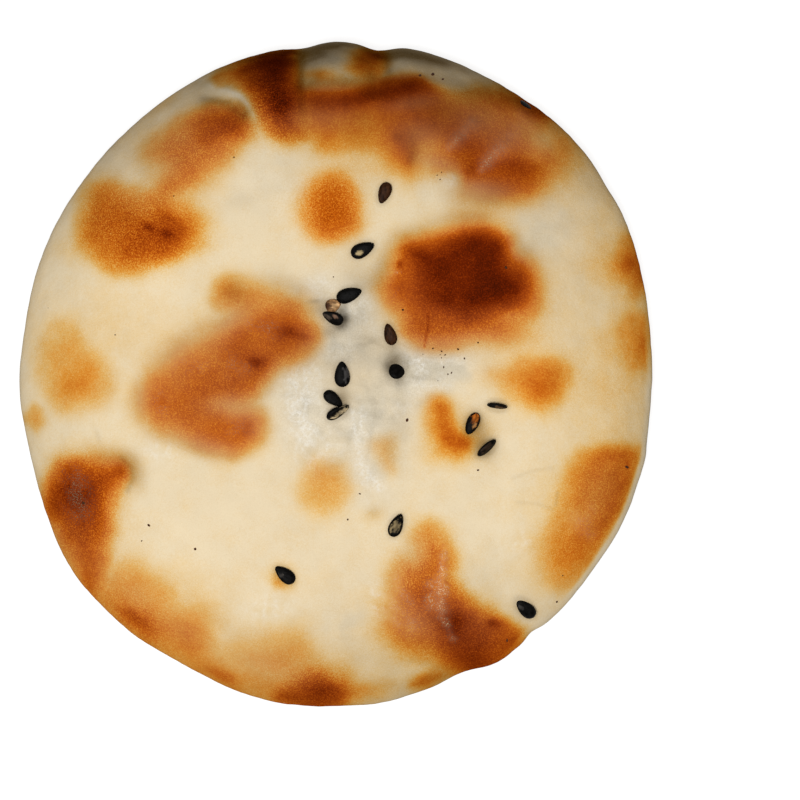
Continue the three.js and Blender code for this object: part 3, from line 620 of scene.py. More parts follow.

# Where each seed lies, as in the part, with its hull, black unless it says, and where the hull is worn or, on
# three seeds, has a painted sheen: along and across the seed from -1 to 1, half length, half width, colour
SEEDS = [
    {"at": (7.0, 25.4), "heading": 250, "size": 0.92, "broad": 1.05, "hull": BROWN_HULL},
    {"at": (4.0, 17.5), "heading": 26, "size": 1.05, "broad": 1.05,
     "wear_and_sheen": [(-0.3, -0.1, 0.28, 0.28, (150, 132, 96))]},
    {"at": (2.1, 11.2), "heading": 20, "size": 1.1},
    {"at": (-0.1, 9.75), "heading": 25, "size": 0.68, "broad": 1.5, "hull": TAN_HULL,
     "wear_and_sheen": [(0.05, -0.1, 0.45, 0.35, (176, 140, 98)), (-0.8, 0.4, 0.5, 0.7, (70, 44, 28))]},
    {"at": (-0.2, 8.0), "heading": 155, "size": 0.92, "broad": 1.1, "roll": -25,
     "wear_and_sheen": [(-0.2, -0.5, 0.28, 0.28, (104, 80, 64)), (0.55, 0.1, 0.4, 0.3, (58, 50, 42))]},
    {"at": (7.8, 5.7), "heading": 105, "size": 0.93, "hull": BROWN_HULL},
    {"at": (9.0, 1.0), "heading": 60, "size": 1.2, "pitch": -42, "sunk": 0.6},
    # the grey place on this seed's hull is a painted sheen
    {"at": (1.1, 0.1), "heading": 92, "size": 1.07, "broad": 1.1,
     "wear_and_sheen": [(0.1, -0.6, 0.6, 0.45, (56, 54, 53))]},
    {"at": (-0.15, -3.35), "heading": 323, "size": 0.93},
    {"at": (0.5, -5.2), "heading": 29, "size": 1.05, "roll": 50,
     "wear_and_sheen": [(0.12, 0.15, 0.66, 0.52, (160, 144, 114))]},
    {"at": (22.8, -4.3), "heading": -7, "size": 0.86, "roll": 80, "taper": 0.05,
     "wear_and_sheen": [(0.3, 0.6, 0.45, 0.45, (72, 54, 36))]},
    {"at": (19.3, -6.8), "heading": 245, "size": 0.98, "taper": 0.15,
     "wear_and_sheen": [(-0.42, 0, 0.36, 0.5, (152, 82, 24)), (0.12, 0.45, 0.3, 0.26, (150, 104, 58))]},
    {"at": (21.3, -10.2), "heading": 41, "size": 1.0, "roll": 65, "taper": 0.05,
     "wear_and_sheen": [(0, 0.6, 0.6, 0.45, (38, 28, 20))]},
    {"at": (8.7, -21.0), "heading": 66, "size": 1.02, "wear_and_sheen": [(-0.15, 0, 0.6, 0.52, (120, 104, 74))]},
    # the grey place on this seed's hull is a painted sheen
    {"at": (-6.9, -27.9), "heading": 141, "size": 1.0, "broad": 1.05,
     "wear_and_sheen": [(0.3, 0.45, 0.3, 0.25, (58, 54, 50))]},
    # the grey place on this seed's hull is a painted sheen
    {"at": (26.7, -32.6), "heading": 132, "size": 1.08, "pitch": -12,
     "wear_and_sheen": [(0.4, 0.3, 0.3, 0.25, (46, 44, 42))]},
    {"at": (27.0, 37.8), "heading": 319, "size": 0.8, "sunk": 0.84},
]
SEED_SHADE = 0.3  # how far round a seed the painted contact shade reaches
SEED_SHADE_SHARE = 0.22
SEED_SHADE_EDGE = 1.25  # where the painted shade ends, in half lengths and widths of its ring
SEED_SHADE_FADE = 0.5

# Dark flecks of burnt flour: middle, half width before the scale
FLECKS = [
    (-25.9, -21, 0.17), (-19.4, -24.3, 0.19), (3.6, -16.6, 0.13), (1.9, -20.2, 0.12), (24.2, -37.2, 0.16),
    (31.2, -31.8, 0.13), (32, -28.1, 0.11), (41, -12.9, 0.22), (-35.1, -17.9, 0.22), (12, 41.9, 0.16),
    (13.8, 42.1, 0.18), (15.2, 41.4, 0.14), (9.6, 9.1, 0.18), (10.2, -6.3, 0.2), (20.1, -13.3, 0.16),
    (12.4, 2.9, 0.11), (13.8, 3.7, 0.13), (15, 3.3, 0.14), (14.8, 2.8, 0.12), (15.5, 2.8, 0.13),
    (15, 2.4, 0.12), (17.3, 3.6, 0.13), (18.2, 2.3, 0.12), (20.1, 4.5, 0.13), (15.3, 1.1, 0.14),
    (16.4, 0.3, 0.13), (15.9, 0.1, 0.12), (14.5, -0.8, 0.09), (-0.1, 13.7, 0.09), (24, 15, 0.2),
    (-22.4, 25, 0.1), (14.4, 27.9, 0.1), (14.8, 27.3, 0.11), (15, 28.3, 0.09), (-26.9, -23.2, 0.1),
    (-30.6, 5.6, 0.09), (-40.1, 9.4, 0.1), (-14, 30.4, 0.1), (34.2, 18.4, 0.11),
]
FLECK_SCALE = 1.2
FLECK_LEAN = (0.7, 1.3)  # least and most that a fleck is drawn out
FLECK_DRAW = 5  # seed of the flecks' random shapes
FLECK_RINGS = 4
FLECK_SIDES = 10
FLECK_COLOUR = (74, 42, 24)
FLECK_ROUGHNESS = 0.7
FLECK_SHINE = 0.1

# The view: straight down on the middle of the frame, from far off
FRAME_WIDTH = 112.0
FRAME_MIDDLE = (9.2, -3.5)
SHARP_HEIGHT = 8.0
LENS = 600.0
SENSOR = 36.0

# The light: one large soft lamp in front and to the left, and a weak fill all round
KEY_DIRECTION = (-0.1, -0.2, 1.0)
KEY_DISTANCE = 0.85
KEY_SIZE = 0.45
KEY_POWER = 5.95
FILL_STRENGTH = 0.23
FILL_COLOUR = (1.0, 0.98, 0.94, 1)

# The floor
FLOOR_GLOW = 0.85
FLOOR_COLOUR = (0.25, 0.25, 0.25, 1)
FLOOR_ROUGHNESS = 0.9
FLOOR_SIZE = 3000.0
FLOOR_GAP = 0.05  # below the bread

# Sockets of a node that mixes two colours
MIX_SHARE, MIX_FIRST, MIX_SECOND, MIX_RESULT = 0, 6, 7, 2


def smooth(t):
    t = np.clip(t, 0, 1)
    return t * t * (3 - 2 * t)


def bell(q):
    return np.exp(-(q**2))


def linear(colour):
    """A 0 to 255 screen colour as linear light by the sRGB curve, with full alpha."""
    share = np.array(colour) / 255
    light = np.where(share <= 0.04045, share / 12.92, ((share + 0.055) / 1.055) ** 2.4)
    return (*light.tolist(), 1.0)


def noise(points, cell, seed):
    """Smooth noise from -1 to 1 at (n, 3) points, with features about a cell wide."""
    lattice = np.random.default_rng(seed).uniform(-1, 1, (LATTICE,) * 3)
    place = points / cell
    low = np.floor(place).astype(int)
    share = smooth(place - low)
    total = np.zeros(len(points))
    for corner in itertools.product((0, 1), repeat=3):
        weight = np.prod(np.where(corner, share, 1 - share), axis=1)
        total += weight * lattice[tuple(((low + corner) % LATTICE).T)]
    return total


def fractal(points, cell, octaves, seed):
    return sum(noise(points, cell / 2**k, seed + k) / 2**k for k in range(octaves))


def rows(table):
    """The rows of a table that lists them by place."""
    return itertools.chain.from_iterable(table.values())


def bearing_gap(a, b):
    return (a - b + 180) % 360 - 180


def edge_radius(bearing):
    t = (bearing - LONG_AXIS_BEARING) * DEGREE
    a, b = LONG_DIAMETER / 2, SHORT_DIAMETER / 2
    radius = a * b / np.hypot(b * np.cos(t), a * np.sin(t))
    for middle, spread, rise in EDGE_SWELLS:
        radius = radius + rise * bell(bearing_gap(bearing, middle) / spread / np.sqrt(2))
    return radius


def edge_place(x, y):
    """A point's bearing, and how far in from the edge it is."""
    bearing = np.arctan2(y, x) / DEGREE
    return bearing, edge_radius(bearing) - np.hypot(x, y)


def oval_distance(x, y, middle_x, middle_y, length, width, turn):
    """How far out a point is from an oval's middle, with 1 on the oval."""
    c, s = np.cos(turn * DEGREE), np.sin(turn * DEGREE)
    u = ((x - middle_x) * c + (y - middle_y) * s) / length
    v = ((y - middle_y) * c - (x - middle_x) * s) / width
    return np.hypot(u, v)


def pleat_height(x, y, bearing, depth):
    own_bearing, in_from_edge = edge_place(x, y)
    across = np.hypot(x, y) * bearing_gap(own_bearing, bearing) * DEGREE
    return -depth * bell(across / PLEAT_WIDTH) * bell(in_from_edge / PLEAT_LENGTH)


def wave_height(x, y):
    height = 0
    for i in range(WAVE_COUNT):
        heading = i * WAVE_TURN * DEGREE
        along = x * np.cos(heading) + y * np.sin(heading)
        height = height + WAVE_RISE * np.sin(2 * np.pi * along / (SHORTEST_WAVE + i * WAVE_STEP) + i)
    return height


def relief(x, y):
    """What stands up from, or sinks into, the plain domed top."""
    bumps = sum(rise * bell(oval_distance(x, y, *oval)) for *oval, rise in BUMPS)
    pleats = sum(pleat_height(x, y, bearing, depth) for bearing, depth in PLEATS)
    return bumps + pleats + wave_height(x, y)


def dome_height(bearing, in_from_edge):
    """The plain top's height. The shoulder is steeper at the back."""
    back_share = bell(bearing_gap(bearing, BACK_BEARING) / BACK_SPREAD)
    shoulder = SHOULDER + (BACK_SHOULDER - SHOULDER) * back_share
    outward = np.clip(1 - in_from_edge / shoulder, 0, 1)
    upward = (1 - outward**SHOULDER_POWER) ** (1 / SHOULDER_POWER)
    return WIDEST_HEIGHT + (THICKNESS - WIDEST_HEIGHT) * upward


def relief_share(plain_height):
    return smooth((plain_height - WIDEST_HEIGHT) / (THICKNESS - WIDEST_HEIGHT))


def plain_height(x, y):
    bearing = np.arctan2(y, x) / DEGREE
    return dome_height(bearing, MEAN_RADIUS * (1 - np.hypot(x, y) / edge_radius(bearing)))


def top_height(x, y):
    plain = plain_height(x, y)
    return plain + relief(x, y) * relief_share(plain)


def section_rings():
    """Radius, height and spacing of each ring of points of the plain section, from the top's middle round to
    the underside's."""
    fine = np.linspace(0, 1, SECTION_STEPS + 1)
    in_from_edge = SHOULDER * (1 - fine) ** 2
    crown = np.stack([fine * (MEAN_RADIUS - SHOULDER), np.full_like(fine, THICKNESS)], 1)
    shoulder = np.stack([MEAN_RADIUS - in_from_edge, dome_height(BACK_BEARING + 180, in_from_edge)], 1)
    angle = fine * np.pi / 2
    under_radius = MEAN_RADIUS - UNDER_CURVE * (1 - np.cos(angle))
    under = np.stack([under_radius, WIDEST_HEIGHT * (1 - np.sin(angle))], 1)
    base = np.stack([(1 - fine) * (MEAN_RADIUS - UNDER_CURVE), np.zeros_like(fine)], 1)
    line = np.concatenate([crown, shoulder[1:], under[1:], base[1:]])
    top_spacing = np.full(len(crown) + len(shoulder) - 1, TOP_SPACING)
    side_spacing = np.full(len(under) - 1, SIDE_SPACING)
    base_spacing = np.linspace(SIDE_SPACING, UNDER_SPACING, len(base) - 1)
    spacing = np.concatenate([top_spacing, side_spacing, base_spacing])
    steps = np.hypot(*np.diff(line, axis=0).T) / spacing[1:]
    walked = np.concatenate([[0], np.cumsum(steps)])
    stops = np.linspace(0, walked[-1], round(walked[-1]) + 1)
    return [np.interp(stops, walked, column) for column in (line[:, 0], line[:, 1], spacing)]


def ring_numbers(counts, first=0):
    """The point numbers of rings that follow one another, each with its count of points."""
    rings = []
    for count in counts:
        rings.append(range(first, first + count))
        first += count
    return rings


def stitch(inner, outer):
    """Triangles between two rings of point numbers, walked round together."""
    faces = []
    i = 1 if len(inner) == 1 else 0
    j = 1 if len(outer) == 1 else 0
    while i < len(inner) or j < len(outer):
        outer_next = (j + 1) * len(inner) <= (i + 1) * len(outer)
        a, b = inner[i % len(inner)], outer[j % len(outer)]
        if j < len(outer) and (i >= len(inner) or outer_next):
            j += 1
            faces.append((a, b, outer[j % len(outer)]))
        else:
            i += 1
            faces.append((a, b, inner[i % len(inner)]))
    return faces


def skin(rings):
    """Triangles from each ring to the next."""
    return [face for inner, outer in zip(rings, rings[1:]) for face in stitch(inner, outer)]


def crust_points():
    """The crust's points, how much of the top's relief each one has, and the triangles."""
    rings = []
    for radius, height, spacing in zip(*section_rings()):
        count = max(1, round(2 * np.pi * radius / spacing))
        angle = 2 * np.pi * np.arange(count) / count
        r = radius * edge_radius(angle / DEGREE) / MEAN_RADIUS
        rings.append(np.stack([r * np.cos(angle), r * np.sin(angle), np.full(count, height)], 1))
    faces = skin(ring_numbers(map(len, rings)))
    points = np.concatenate(rings)
    x, y, z = points.T
    top = z >= WIDEST_HEIGHT
    points[:, 2] = np.where(top, top_height(x, y), z)
    share = np.where(top, relief_share(plain_height(x, y)), 0)
    return points, share, faces


def closed_line(corners):
    """A smooth closed line through the corners, as short straight steps."""
    here = np.array(corners)
    before, after, beyond = (np.roll(here, shift, axis=0) for shift in (1, -1, -2))
    t = np.arange(OUTLINE_STEPS)[:, None, None] / OUTLINE_STEPS
    slope = after - before
    bend = 2 * before - 5 * here + 4 * after - beyond
    swing = 3 * here - before - 3 * after + beyond
    points = here + (slope * t + bend * t**2 + swing * t**3) / 2
    return points.transpose(1, 0, 2).reshape(-1, 2)


def line_distance(x, y, start, end):
    step = np.subtract(end, start)
    along = ((x - start[0]) * step[0] + (y - start[1]) * step[1]) / (step @ step)
    along = np.clip(along, 0, 1)
    return np.hypot(x - start[0] - along * step[0], y - start[1] - along * step[1])


def path_distance(x, y, path):
    """How far a point is from the nearest part of an open line through the path's corners."""
    return np.min([line_distance(x, y, start, end) for start, end in zip(path, path[1:])], axis=0)


def inside_distance(x, y, line):
    """How far inside a closed line a point is, below 0 outside it."""
    nearest = np.full(x.shape, np.inf)
    inside = np.zeros(x.shape, bool)
    for start, end in zip(line, np.roll(line, -1, axis=0)):
        nearest = np.minimum(nearest, line_distance(x, y, start, end))
        if start[1] != end[1]:
            meets = start[0] + (y - start[1]) / (end[1] - start[1]) * (end[0] - start[0])
            inside ^= ((start[1] > y) != (end[1] > y)) & (x < meets)
    return np.where(inside, nearest, -nearest)


def patch_level(x, y, level, fade, soft_bearing, softer, corners):
    line = closed_line(corners)
    low, high = line.min(axis=0) - FADE_LIMIT, line.max(axis=0) + FADE_LIMIT
    near = (x > low[0]) & (x < high[0]) & (y > low[1]) & (y < high[1])
    here = np.zeros_like(x)
    inside = inside_distance(x[near], y[near], line)
    middle_x, middle_y = line.mean(axis=0)
    bearing = np.arctan2(y[near] - middle_y, x[near] - middle_x) / DEGREE
    soft_share = bell(bearing_gap(bearing, soft_bearing) / SOFT_SPREAD)
    reach = fade * (1 + (softer - 1) * soft_share) * np.where(inside > 0, FADE_INWARD, FADE_OUTWARD)
    here[near] = level * (1 + np.tanh(inside / reach)) / 2
    return here


def joined_share(x, y, ovals):
    """How far a point is covered by soft ovals, from 0 to 1."""
    bare = np.ones_like(x)
    for *oval, share in ovals:
        bare *= 1 - share * bell(oval_distance(x, y, *oval))
    return 1 - bare


def lines_share(x, y, lines):
    """How far a point is covered by soft lines, from 0 to 1."""
    bare = np.ones_like(x)
    for path, half, share in lines:
        bare *= 1 - share * bell(path_distance(x, y, path) / half)
    return 1 - bare


def lines_sum(x, y, lines):
    """The sum of the changes that soft lines make."""
    return sum(change * bell(path_distance(x, y, path) / half) for path, half, change in lines)


def edge_sum(x, y, table):
    """The sum of the changes that reach in from the edge."""
    bearing, in_from_edge = edge_place(x, y)
    return sum(
        change * bell(bearing_gap(bearing, middle) / spread) * bell(in_from_edge / reach)
        for middle, spread, reach, change in table
    )


def edge_strip(x, y):
    """How far a point is in the pale strip at the edge, from 0 to 1."""
    middle, spread, width = EDGE_STRIP
    bearing, in_from_edge = edge_place(x, y)
    return bell((bearing_gap(bearing, middle) / spread) ** 2) * bell((in_from_edge / width) ** 2)


def top_browning(points):
    wander_x, wander_y = (OUTLINE_WANDER * fractal(points, *kind) for kind in WANDER_NOISES)
    x, y = points[:, 0] + wander_x, points[:, 1] + wander_y
    joined = sum(patch_level(x, y, *patch) ** PATCH_JOIN for patch in PATCHES.values()) ** (1 / PATCH_JOIN)
    shades = sum(change * bell(oval_distance(x, y, *oval)) for *oval, change in rows(SHADES))
    level = joined + shades + lines_sum(x, y, STREAKS) + edge_sum(x, y, EDGE_BROWNING)
    uneven = 1 + PATCHINESS * fractal(points, *PATCHINESS_NOISE)
    return np.maximum(level, 0) * uneven * (1 - edge_strip(points[:, 0], points[:, 1]))


def under_browning(points):
    """Soft blotches of uneven depth."""
    blotches = smooth((fractal(points, *BLOTCH_NOISE) + BLOTCH_LOW) / BLOTCH_SPREAD)
    return UNDER_LEVEL * blotches * (1 + UNDER_UNEVEN * fractal(points, *UNDER_NOISE))


def top_share(points):
    """How far the top's colours reach: 1 above the widest line, falling to 0 at the base."""
    return smooth(points[:, 2] / WIDEST_HEIGHT)


def browning_of(points):
    """The top's patches run down the side and give way to the underside's blotches."""
    share = top_share(points)
    return top_browning(points) * share + under_browning(points) * (1 - share)


def seed_contact_shade(x, y):
    """How far a point is in the painted contact shade round each seed, from 0 to 1."""
    share = np.zeros_like(x)
    for seed in SEEDS:
        length = seed["size"] * SEED_LENGTH / 2 + SEED_SHADE
        width = seed["size"] * seed.get("broad", 1) * SEED_WIDTH / 2 + SEED_SHADE
        out = oval_distance(x, y, *seed["at"], length, width, seed["heading"])
        share = np.maximum(share, smooth((SEED_SHADE_EDGE - out) / SEED_SHADE_FADE))
    return share


def tone_and_shade_of(points):
    """How far each point is darkened: by painted shade along the edge, in the creases and round the seeds, by
    the marks, partly painted shade, and by a slight uneven tone.
    """
    x, y = points[:, 0], points[:, 1]
    # Painted shade along the edge, a little uneven
    edge = edge_sum(x, y, EDGE_SHADE) * (1 + EDGE_SHADE_UNEVEN * fractal(points, *EDGE_SHADE_NOISE))
    slight = SKIN_TONE * (1 + fractal(points, *SKIN_TONE_NOISE))
    bare = (1 - np.clip(edge, 0, FULL_TONE)) * (1 - np.clip(slight, 0, FULL_TONE))
    # marks, partly painted shade, and painted shade in the creases
    bare *= (1 - joined_share(x, y, rows(MARKS_AND_SHADE))) * (1 - lines_share(x, y, CREASES))
    # painted contact shade round the seeds
    bare *= 1 - SEED_SHADE_SHARE * seed_contact_shade(x, y)
    return (1 - bare) * smooth(points[:, 2] / FULL_TONE_HEIGHT)


def ridge_glints_of(points):
    """Painted glint specks along the ridges, broken up, and the painted milky sheen under them."""
    x, y = points[:, 0], points[:, 1]
    specks, ridge_sheen = np.zeros_like(x), np.zeros_like(x)
    for path, half, _, glint_share, ridge_sheen_share in RIDGES:
        along = bell(path_distance(x, y, path) / half)
        specks = np.maximum(specks, glint_share * along)
        ridge_sheen = np.maximum(ridge_sheen, ridge_sheen_share * along)
    uneven = fractal(points, *RIDGE_GLINT_NOISE)
    return specks * smooth(RIDGE_GLINT_COVER + uneven), ridge_sheen * (1 + RIDGE_SHEEN_UNEVEN * uneven)


def crumples_of(points):
    """Fine crumples of the moist skin, where the painted glints lie: 1 along each crest, falling to 0 off it.
    """
    return smooth(CRUMPLE_BREADTH - CRUMPLE_SHARPNESS * np.abs(fractal(points, *CRUMPLE_NOISE)))


def fine_relief(points, share, browning):
    """How far each point stands out along the crust: folds, wrinkles of the pressed middle and rough skin."""
    x, y = points[:, 0], points[:, 1]
    ridges = lines_sum(x, y, [ridge[:3] for ridge in RIDGES])
    pressed = bell(oval_distance(x, y, *WRINKLED))
    wrinkles = WRINKLE_RISE * pressed * (WRINKLE_MIDDLE - np.abs(fractal(points, *WRINKLE_NOISE)))
    lumps = LUMP_RISE * fractal(points, *LUMP_NOISE)
    rough = ROUGH_RISE * fractal(points, *ROUGH_NOISE) * (ROUGH_PALE + browning)
    return (ridges + lines_sum(x, y, FOLDS) + wrinkles) * share + lumps + rough


def new_mesh(name, points, faces):
    """A smooth mesh object from points in millimetres."""
    mesh = bpy.data.meshes.new(name)
    mesh.from_pydata((points * MM).tolist(), [], faces)
    mesh.shade_smooth()
    piece = bpy.data.objects.new(name, mesh)
    bpy.context.scene.collection.objects.link(piece)
    return piece


def set_values(piece, name, values):
    """Keeps one number for each point of the mesh, for its material to read."""
    layer = piece.data.attributes.new(name, "FLOAT", "POINT")
    layer.data.foreach_set("value", np.asarray(values, np.float32))


def set_inputs(tree, node, inputs):
    """Gives a node's inputs their values, each a number, a colour or another node's socket."""
    for key, value in inputs.items():
        if isinstance(value, bpy.types.NodeSocket):
            tree.links.new(value, node.inputs[key])
        else:
            node.inputs[key].default_value = value


def new_material(name):
    """A material, a function that adds a node with given inputs, and one that sets the shader's inputs."""
    material = bpy.data.materials.new(name)
    material.use_nodes = True
    tree = material.node_tree

    def add(kind, inputs=None, **settings):
        node = tree.nodes.new(kind)
        for key, value in settings.items():
            setattr(node, key, value)
        set_inputs(tree, node, inputs or {})
        return node

    def shade(inputs):
        set_inputs(tree, tree.nodes["Principled BSDF"], inputs)

    return material, add, shade


def crust_material():
    material, add, shade = new_material("crust")
    place = add("ShaderNodeTexCoord").outputs["Object"]

    def kept(name):
        return add("ShaderNodeAttribute", attribute_name=name).outputs["Fac"]

    def noise_node(scale, detail, roughness):
        inputs = {"Vector": place, "Scale": scale, "Detail": detail, "Roughness": roughness}
        return add("ShaderNodeTexNoise", inputs).outputs["Fac"]

    def spread(value, low, high, to_low, to_high):
        inputs = {"Value": value, "From Min": low, "From Max": high, "To Min": to_low, "To Max": to_high}
        return add("ShaderNodeMapRange", inputs).outputs["Result"]

    def times(a, b):
        return add("ShaderNodeMath", {0: a, 1: b}, operation="MULTIPLY").outputs["Value"]

    def plus(a, b):
        return add("ShaderNodeMath", {0: a, 1: b}, operation="ADD").outputs["Value"]

    def mix(share, colour, other, blend="MIX"):
        inputs = {MIX_SHARE: share, MIX_FIRST: colour, MIX_SECOND: linear(other)}
        return add("ShaderNodeMix", inputs, data_type="RGBA", blend_type=blend).outputs[MIX_RESULT]

    browning = kept("browning")
    grain = noise_node(*GRAIN)
    speckle = noise_node(*SPECKLE)
    swing = spread(speckle, *SPECKLE_SWING)

    # Browning with its grain, as colour, with painted sparkle highlights that lighten specks of the browned
    # skin
    gritty = times(spread(kept("grit"), *SPECKLE_BY_GRIT), swing)
    grainy = times(plus(spread(grain, *GRAIN_SHIFT), gritty), spread(browning, *GRAIN_BY_BROWNING))
    mottled = plus(plus(browning, grainy), spread(noise_node(*MOTTLE), *MOTTLE_SHIFT))
    # painted sparkle highlights on the browned skin
    sparkle = times(spread(speckle, *SPARKLE_BY_SPECKLE), spread(browning, *SPARKLE_BY_BROWNING))
    ramp = add("ShaderNodeValToRGB", {"Fac": plus(mottled, sparkle)})
    stops = ramp.color_ramp.elements
    while len(stops) < len(BROWNING_COLOURS):
        stops.new(1.0)
    for stop, (position, colour) in zip(stops, BROWNING_COLOURS):
        stop.position = position
        stop.color = linear(colour)

    # Greyish skin and painted moist glints where it isn't browned, painted milky sheen and painted glint
    # specks where it is
    bare = spread(browning, *BARE_BY_BROWNING)
    glint_reach = times(bare, spread(grain, *GLINT_BY_GRAIN))
    broad_sheen_reach = times(spread(browning, *BROAD_SHEEN_IN), spread(browning, *BROAD_SHEEN_OUT))
    fringe_reach = times(spread(browning, *FRINGE_IN), spread(browning, *FRINGE_OUT))
    layers = [
        (times(kept("pale_skin"), bare), PALE_SKIN_COLOUR),
        (times(kept("grey_skin"), bare), GREY_SKIN_COLOUR),
        (times(kept("glint"), glint_reach), GLINT_COLOUR),
        (times(kept("broad_sheen"), broad_sheen_reach), BROAD_SHEEN_COLOUR),
        (times(kept("fringe"), fringe_reach), FRINGE_COLOUR),
        (times(kept("vivid"), spread(browning, *VIVID_IN)), VIVID_COLOUR),
        (kept("ridge_sheen"), RIDGE_SHEEN_COLOUR),
        (times(kept("ridge_glints"), spread(speckle, *RIDGE_GLINT_BY_SPECKLE)), RIDGE_GLINT_COLOUR),
        # soot, with painted shadow beside the seeds
        (kept("soot_and_shadow"), SOOT_AND_SHADOW_COLOUR),
    ]
    colour = ramp.outputs["Color"]
    for share, over in layers:
        colour = mix(share, colour, over)
    skin_grain = times(spread(kept("pale_skin"), *SPECKLE_BY_PALE_SKIN), swing)
    height = plus(grain, times(speckle, BUMP_OF_SPECKLE))
    bump = add("ShaderNodeBump", {"Height": height, "Strength": BUMP_STRENGTH, "Distance": BUMP_DISTANCE})
    # The tone, mostly painted shade with a slight uneven tone, darkens the colour
    shade({
        "Base Color": mix(plus(kept("tone_and_shade"), skin_grain), colour, TONE_AND_SHADE_COLOUR, "MULTIPLY"),
        "Roughness": spread(browning, *ROUGHNESS_BY_BROWNING),
        "Specular IOR Level": 0,
        "Normal": bump.outputs["Normal"],
    })
    return material


def build_crust():
    points, share, faces = crust_points()
    crust = new_mesh("crust", points, faces)
    normals = np.empty(len(points) * 3, np.float32)
    crust.data.vertex_normals.foreach_get("vector", normals)
    x, y = points[:, 0].copy(), points[:, 1].copy()
    upper = top_share(points)
    browning = browning_of(points)
    pale = joined_share(x, y, PALE_SKIN) * share
    looks = {
        "browning": browning,
        "pale_skin": pale,
        "grey_skin": pale * smooth(GREY_COVER + GREY_UNEVEN * fractal(points, *GREY_SKIN_NOISE)),
        # painted milky sheen on the browned skin
        "broad_sheen": joined_share(x, y, BROAD_SHEEN) * share,
        "fringe": joined_share(x, y, FRINGES) * upper,
        "vivid": joined_share(x, y, VIVID) * upper,
        "grit": joined_share(x, y, GRIT),
        # soot, with painted shadow beside the seeds
        "soot_and_shadow": joined_share(x, y, SOOT_AND_SHADOW) * upper,
        # painted shade of the edge, marks, creases and seeds, with a slight uneven tone
        "tone_and_shade": tone_and_shade_of(points),
    }
    points += normals.reshape(-1, 3) * fine_relief(points, share, browning)[:, None]
    points[:, 2] = np.maximum(points[:, 2], 0)
    crust.data.vertices.foreach_set("co", (points * MM).astype(np.float32).ravel())
    crust.data.update()
    # painted glint specks and milky sheen along the ridges
    ridge_glints, ridge_sheen = ridge_glints_of(points)
    # painted glints on the pale skin and along its strands
    glints = np.maximum(joined_share(x, y, GLINTS) * crumples_of(points), lines_share(x, y, GLINT_STRANDS))
    looks |= {"ridge_glints": ridge_glints * share, "ridge_sheen": ridge_sheen * share, "glint": glints * share}
    for name, values in looks.items():
        set_values(crust, name, values)
    crust.data.materials.append(crust_material())
    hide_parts("shaobing")
    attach(crust, "root")


def seed_points(taper):
    """A flat teardrop that fills a unit box from -1 to 1, its tip along +X, with its faces."""
    along = -np.cos(np.pi * np.arange(1, SEED_RINGS) / SEED_RINGS)
    around = 2 * np.pi * np.arange(SEED_SIDES) / SEED_SIDES
    girth = np.sqrt(1 - along**2) * (1 - taper * along)
    x = np.repeat(along, SEED_SIDES)
    y = np.outer(girth, np.cos(around)).ravel()
    z = np.outer(girth, np.sin(around)).ravel()
    z *= 1 - SEED_HOLLOW * bell(np.hypot(x, y) / SEED_HOLLOW_REACH)
    points = np.concatenate([[[-1, 0, 0]], np.stack([x, y, z], 1), [[1, 0, 0]]])
    faces = skin(ring_numbers([1, *[SEED_SIDES] * (SEED_RINGS - 1), 1]))
    return points, [face[::-1] for face in faces]


def seed_colours(shape, hull, wear_and_sheen, number):
    """Linear colour of each point of a seed: its hull, uneven, with the worn places showing through and the
    spots of painted sheen laid on.
    """
    rough = fractal(shape + HULL_SHIFT * number, *HULL_NOISE)[:, None]
    colours = np.array(linear(hull)) * (1 + HULL_UNEVEN * rough)
    for along, across, length, width, colour in wear_and_sheen:
        out = np.hypot((shape[:, :1] - along) / length, (shape[:, 1:2] - across) / width)
        share = smooth((WEAR_AND_SHEEN_EDGE - out + WEAR_AND_SHEEN_WANDER * rough) / WEAR_AND_SHEEN_FADE) * (shape[:, 2:] > 0)
        colours += (np.array(linear(colour)) * (1 + WEAR_AND_SHEEN_UNEVEN * rough) - colours) * share
    colours[:, 3] = 1
    return colours


def seed_place(at, heading, size, broad=1, roll=0, pitch=0, sunk=SEED_SUNK):
    """The matrix and the shift that lay a unit seed on the crust, along its slope."""
    x, y = at
    fall_x = top_height(x - SLOPE_REACH, y) - top_height(x + SLOPE_REACH, y)
    fall_y = top_height(x, y - SLOPE_REACH) - top_height(x, y + SLOPE_REACH)
    up = Vector((fall_x, fall_y, 2 * SLOPE_REACH)).normalized()
    tip = Vector((np.cos(heading * DEGREE), np.sin(heading * DEGREE), 0))
    tip = (tip - up * tip.dot(up)).normalized()
    turned = Matrix((tip, up.cross(tip), up)).transposed()
    turned = turned @ Matrix.Rotation(-pitch * DEGREE, 3, "Y") @ Matrix.Rotation(roll * DEGREE, 3, "X")
    box = size * np.array([SEED_LENGTH, broad * SEED_WIDTH, SEED_THICKNESS])
    height = box[2] * np.cos(roll * DEGREE) * np.cos(pitch * DEGREE)
    depth = np.linalg.norm([height, box[1] * np.sin(roll * DEGREE), box[0] * np.sin(pitch * DEGREE)])
    middle = Vector((x, y, top_height(x, y))) + up * depth * (0.5 - sunk)
    return np.array(turned) * box / 2, np.array(middle)


def sesame_material():
    material, add, shade = new_material("sesame")
    hull = add("ShaderNodeVertexColor", layer_name="hull")
    place = add("ShaderNodeTexCoord").outputs["Object"]
    scale, detail = HULL_GRAIN
    rough = add("ShaderNodeTexNoise", {"Vector": place, "Scale": scale, "Detail": detail}).outputs["Fac"]
    bump = add("ShaderNodeBump", {"Height": rough, "Strength": HULL_BUMP, "Distance": BUMP_DISTANCE})
    shade({
        "Base Color": hull.outputs["Color"],
        "Roughness": HULL_ROUGHNESS,
        "Specular IOR Level": HULL_SHINE,
        "Normal": bump.outputs["Normal"],
    })
    return material


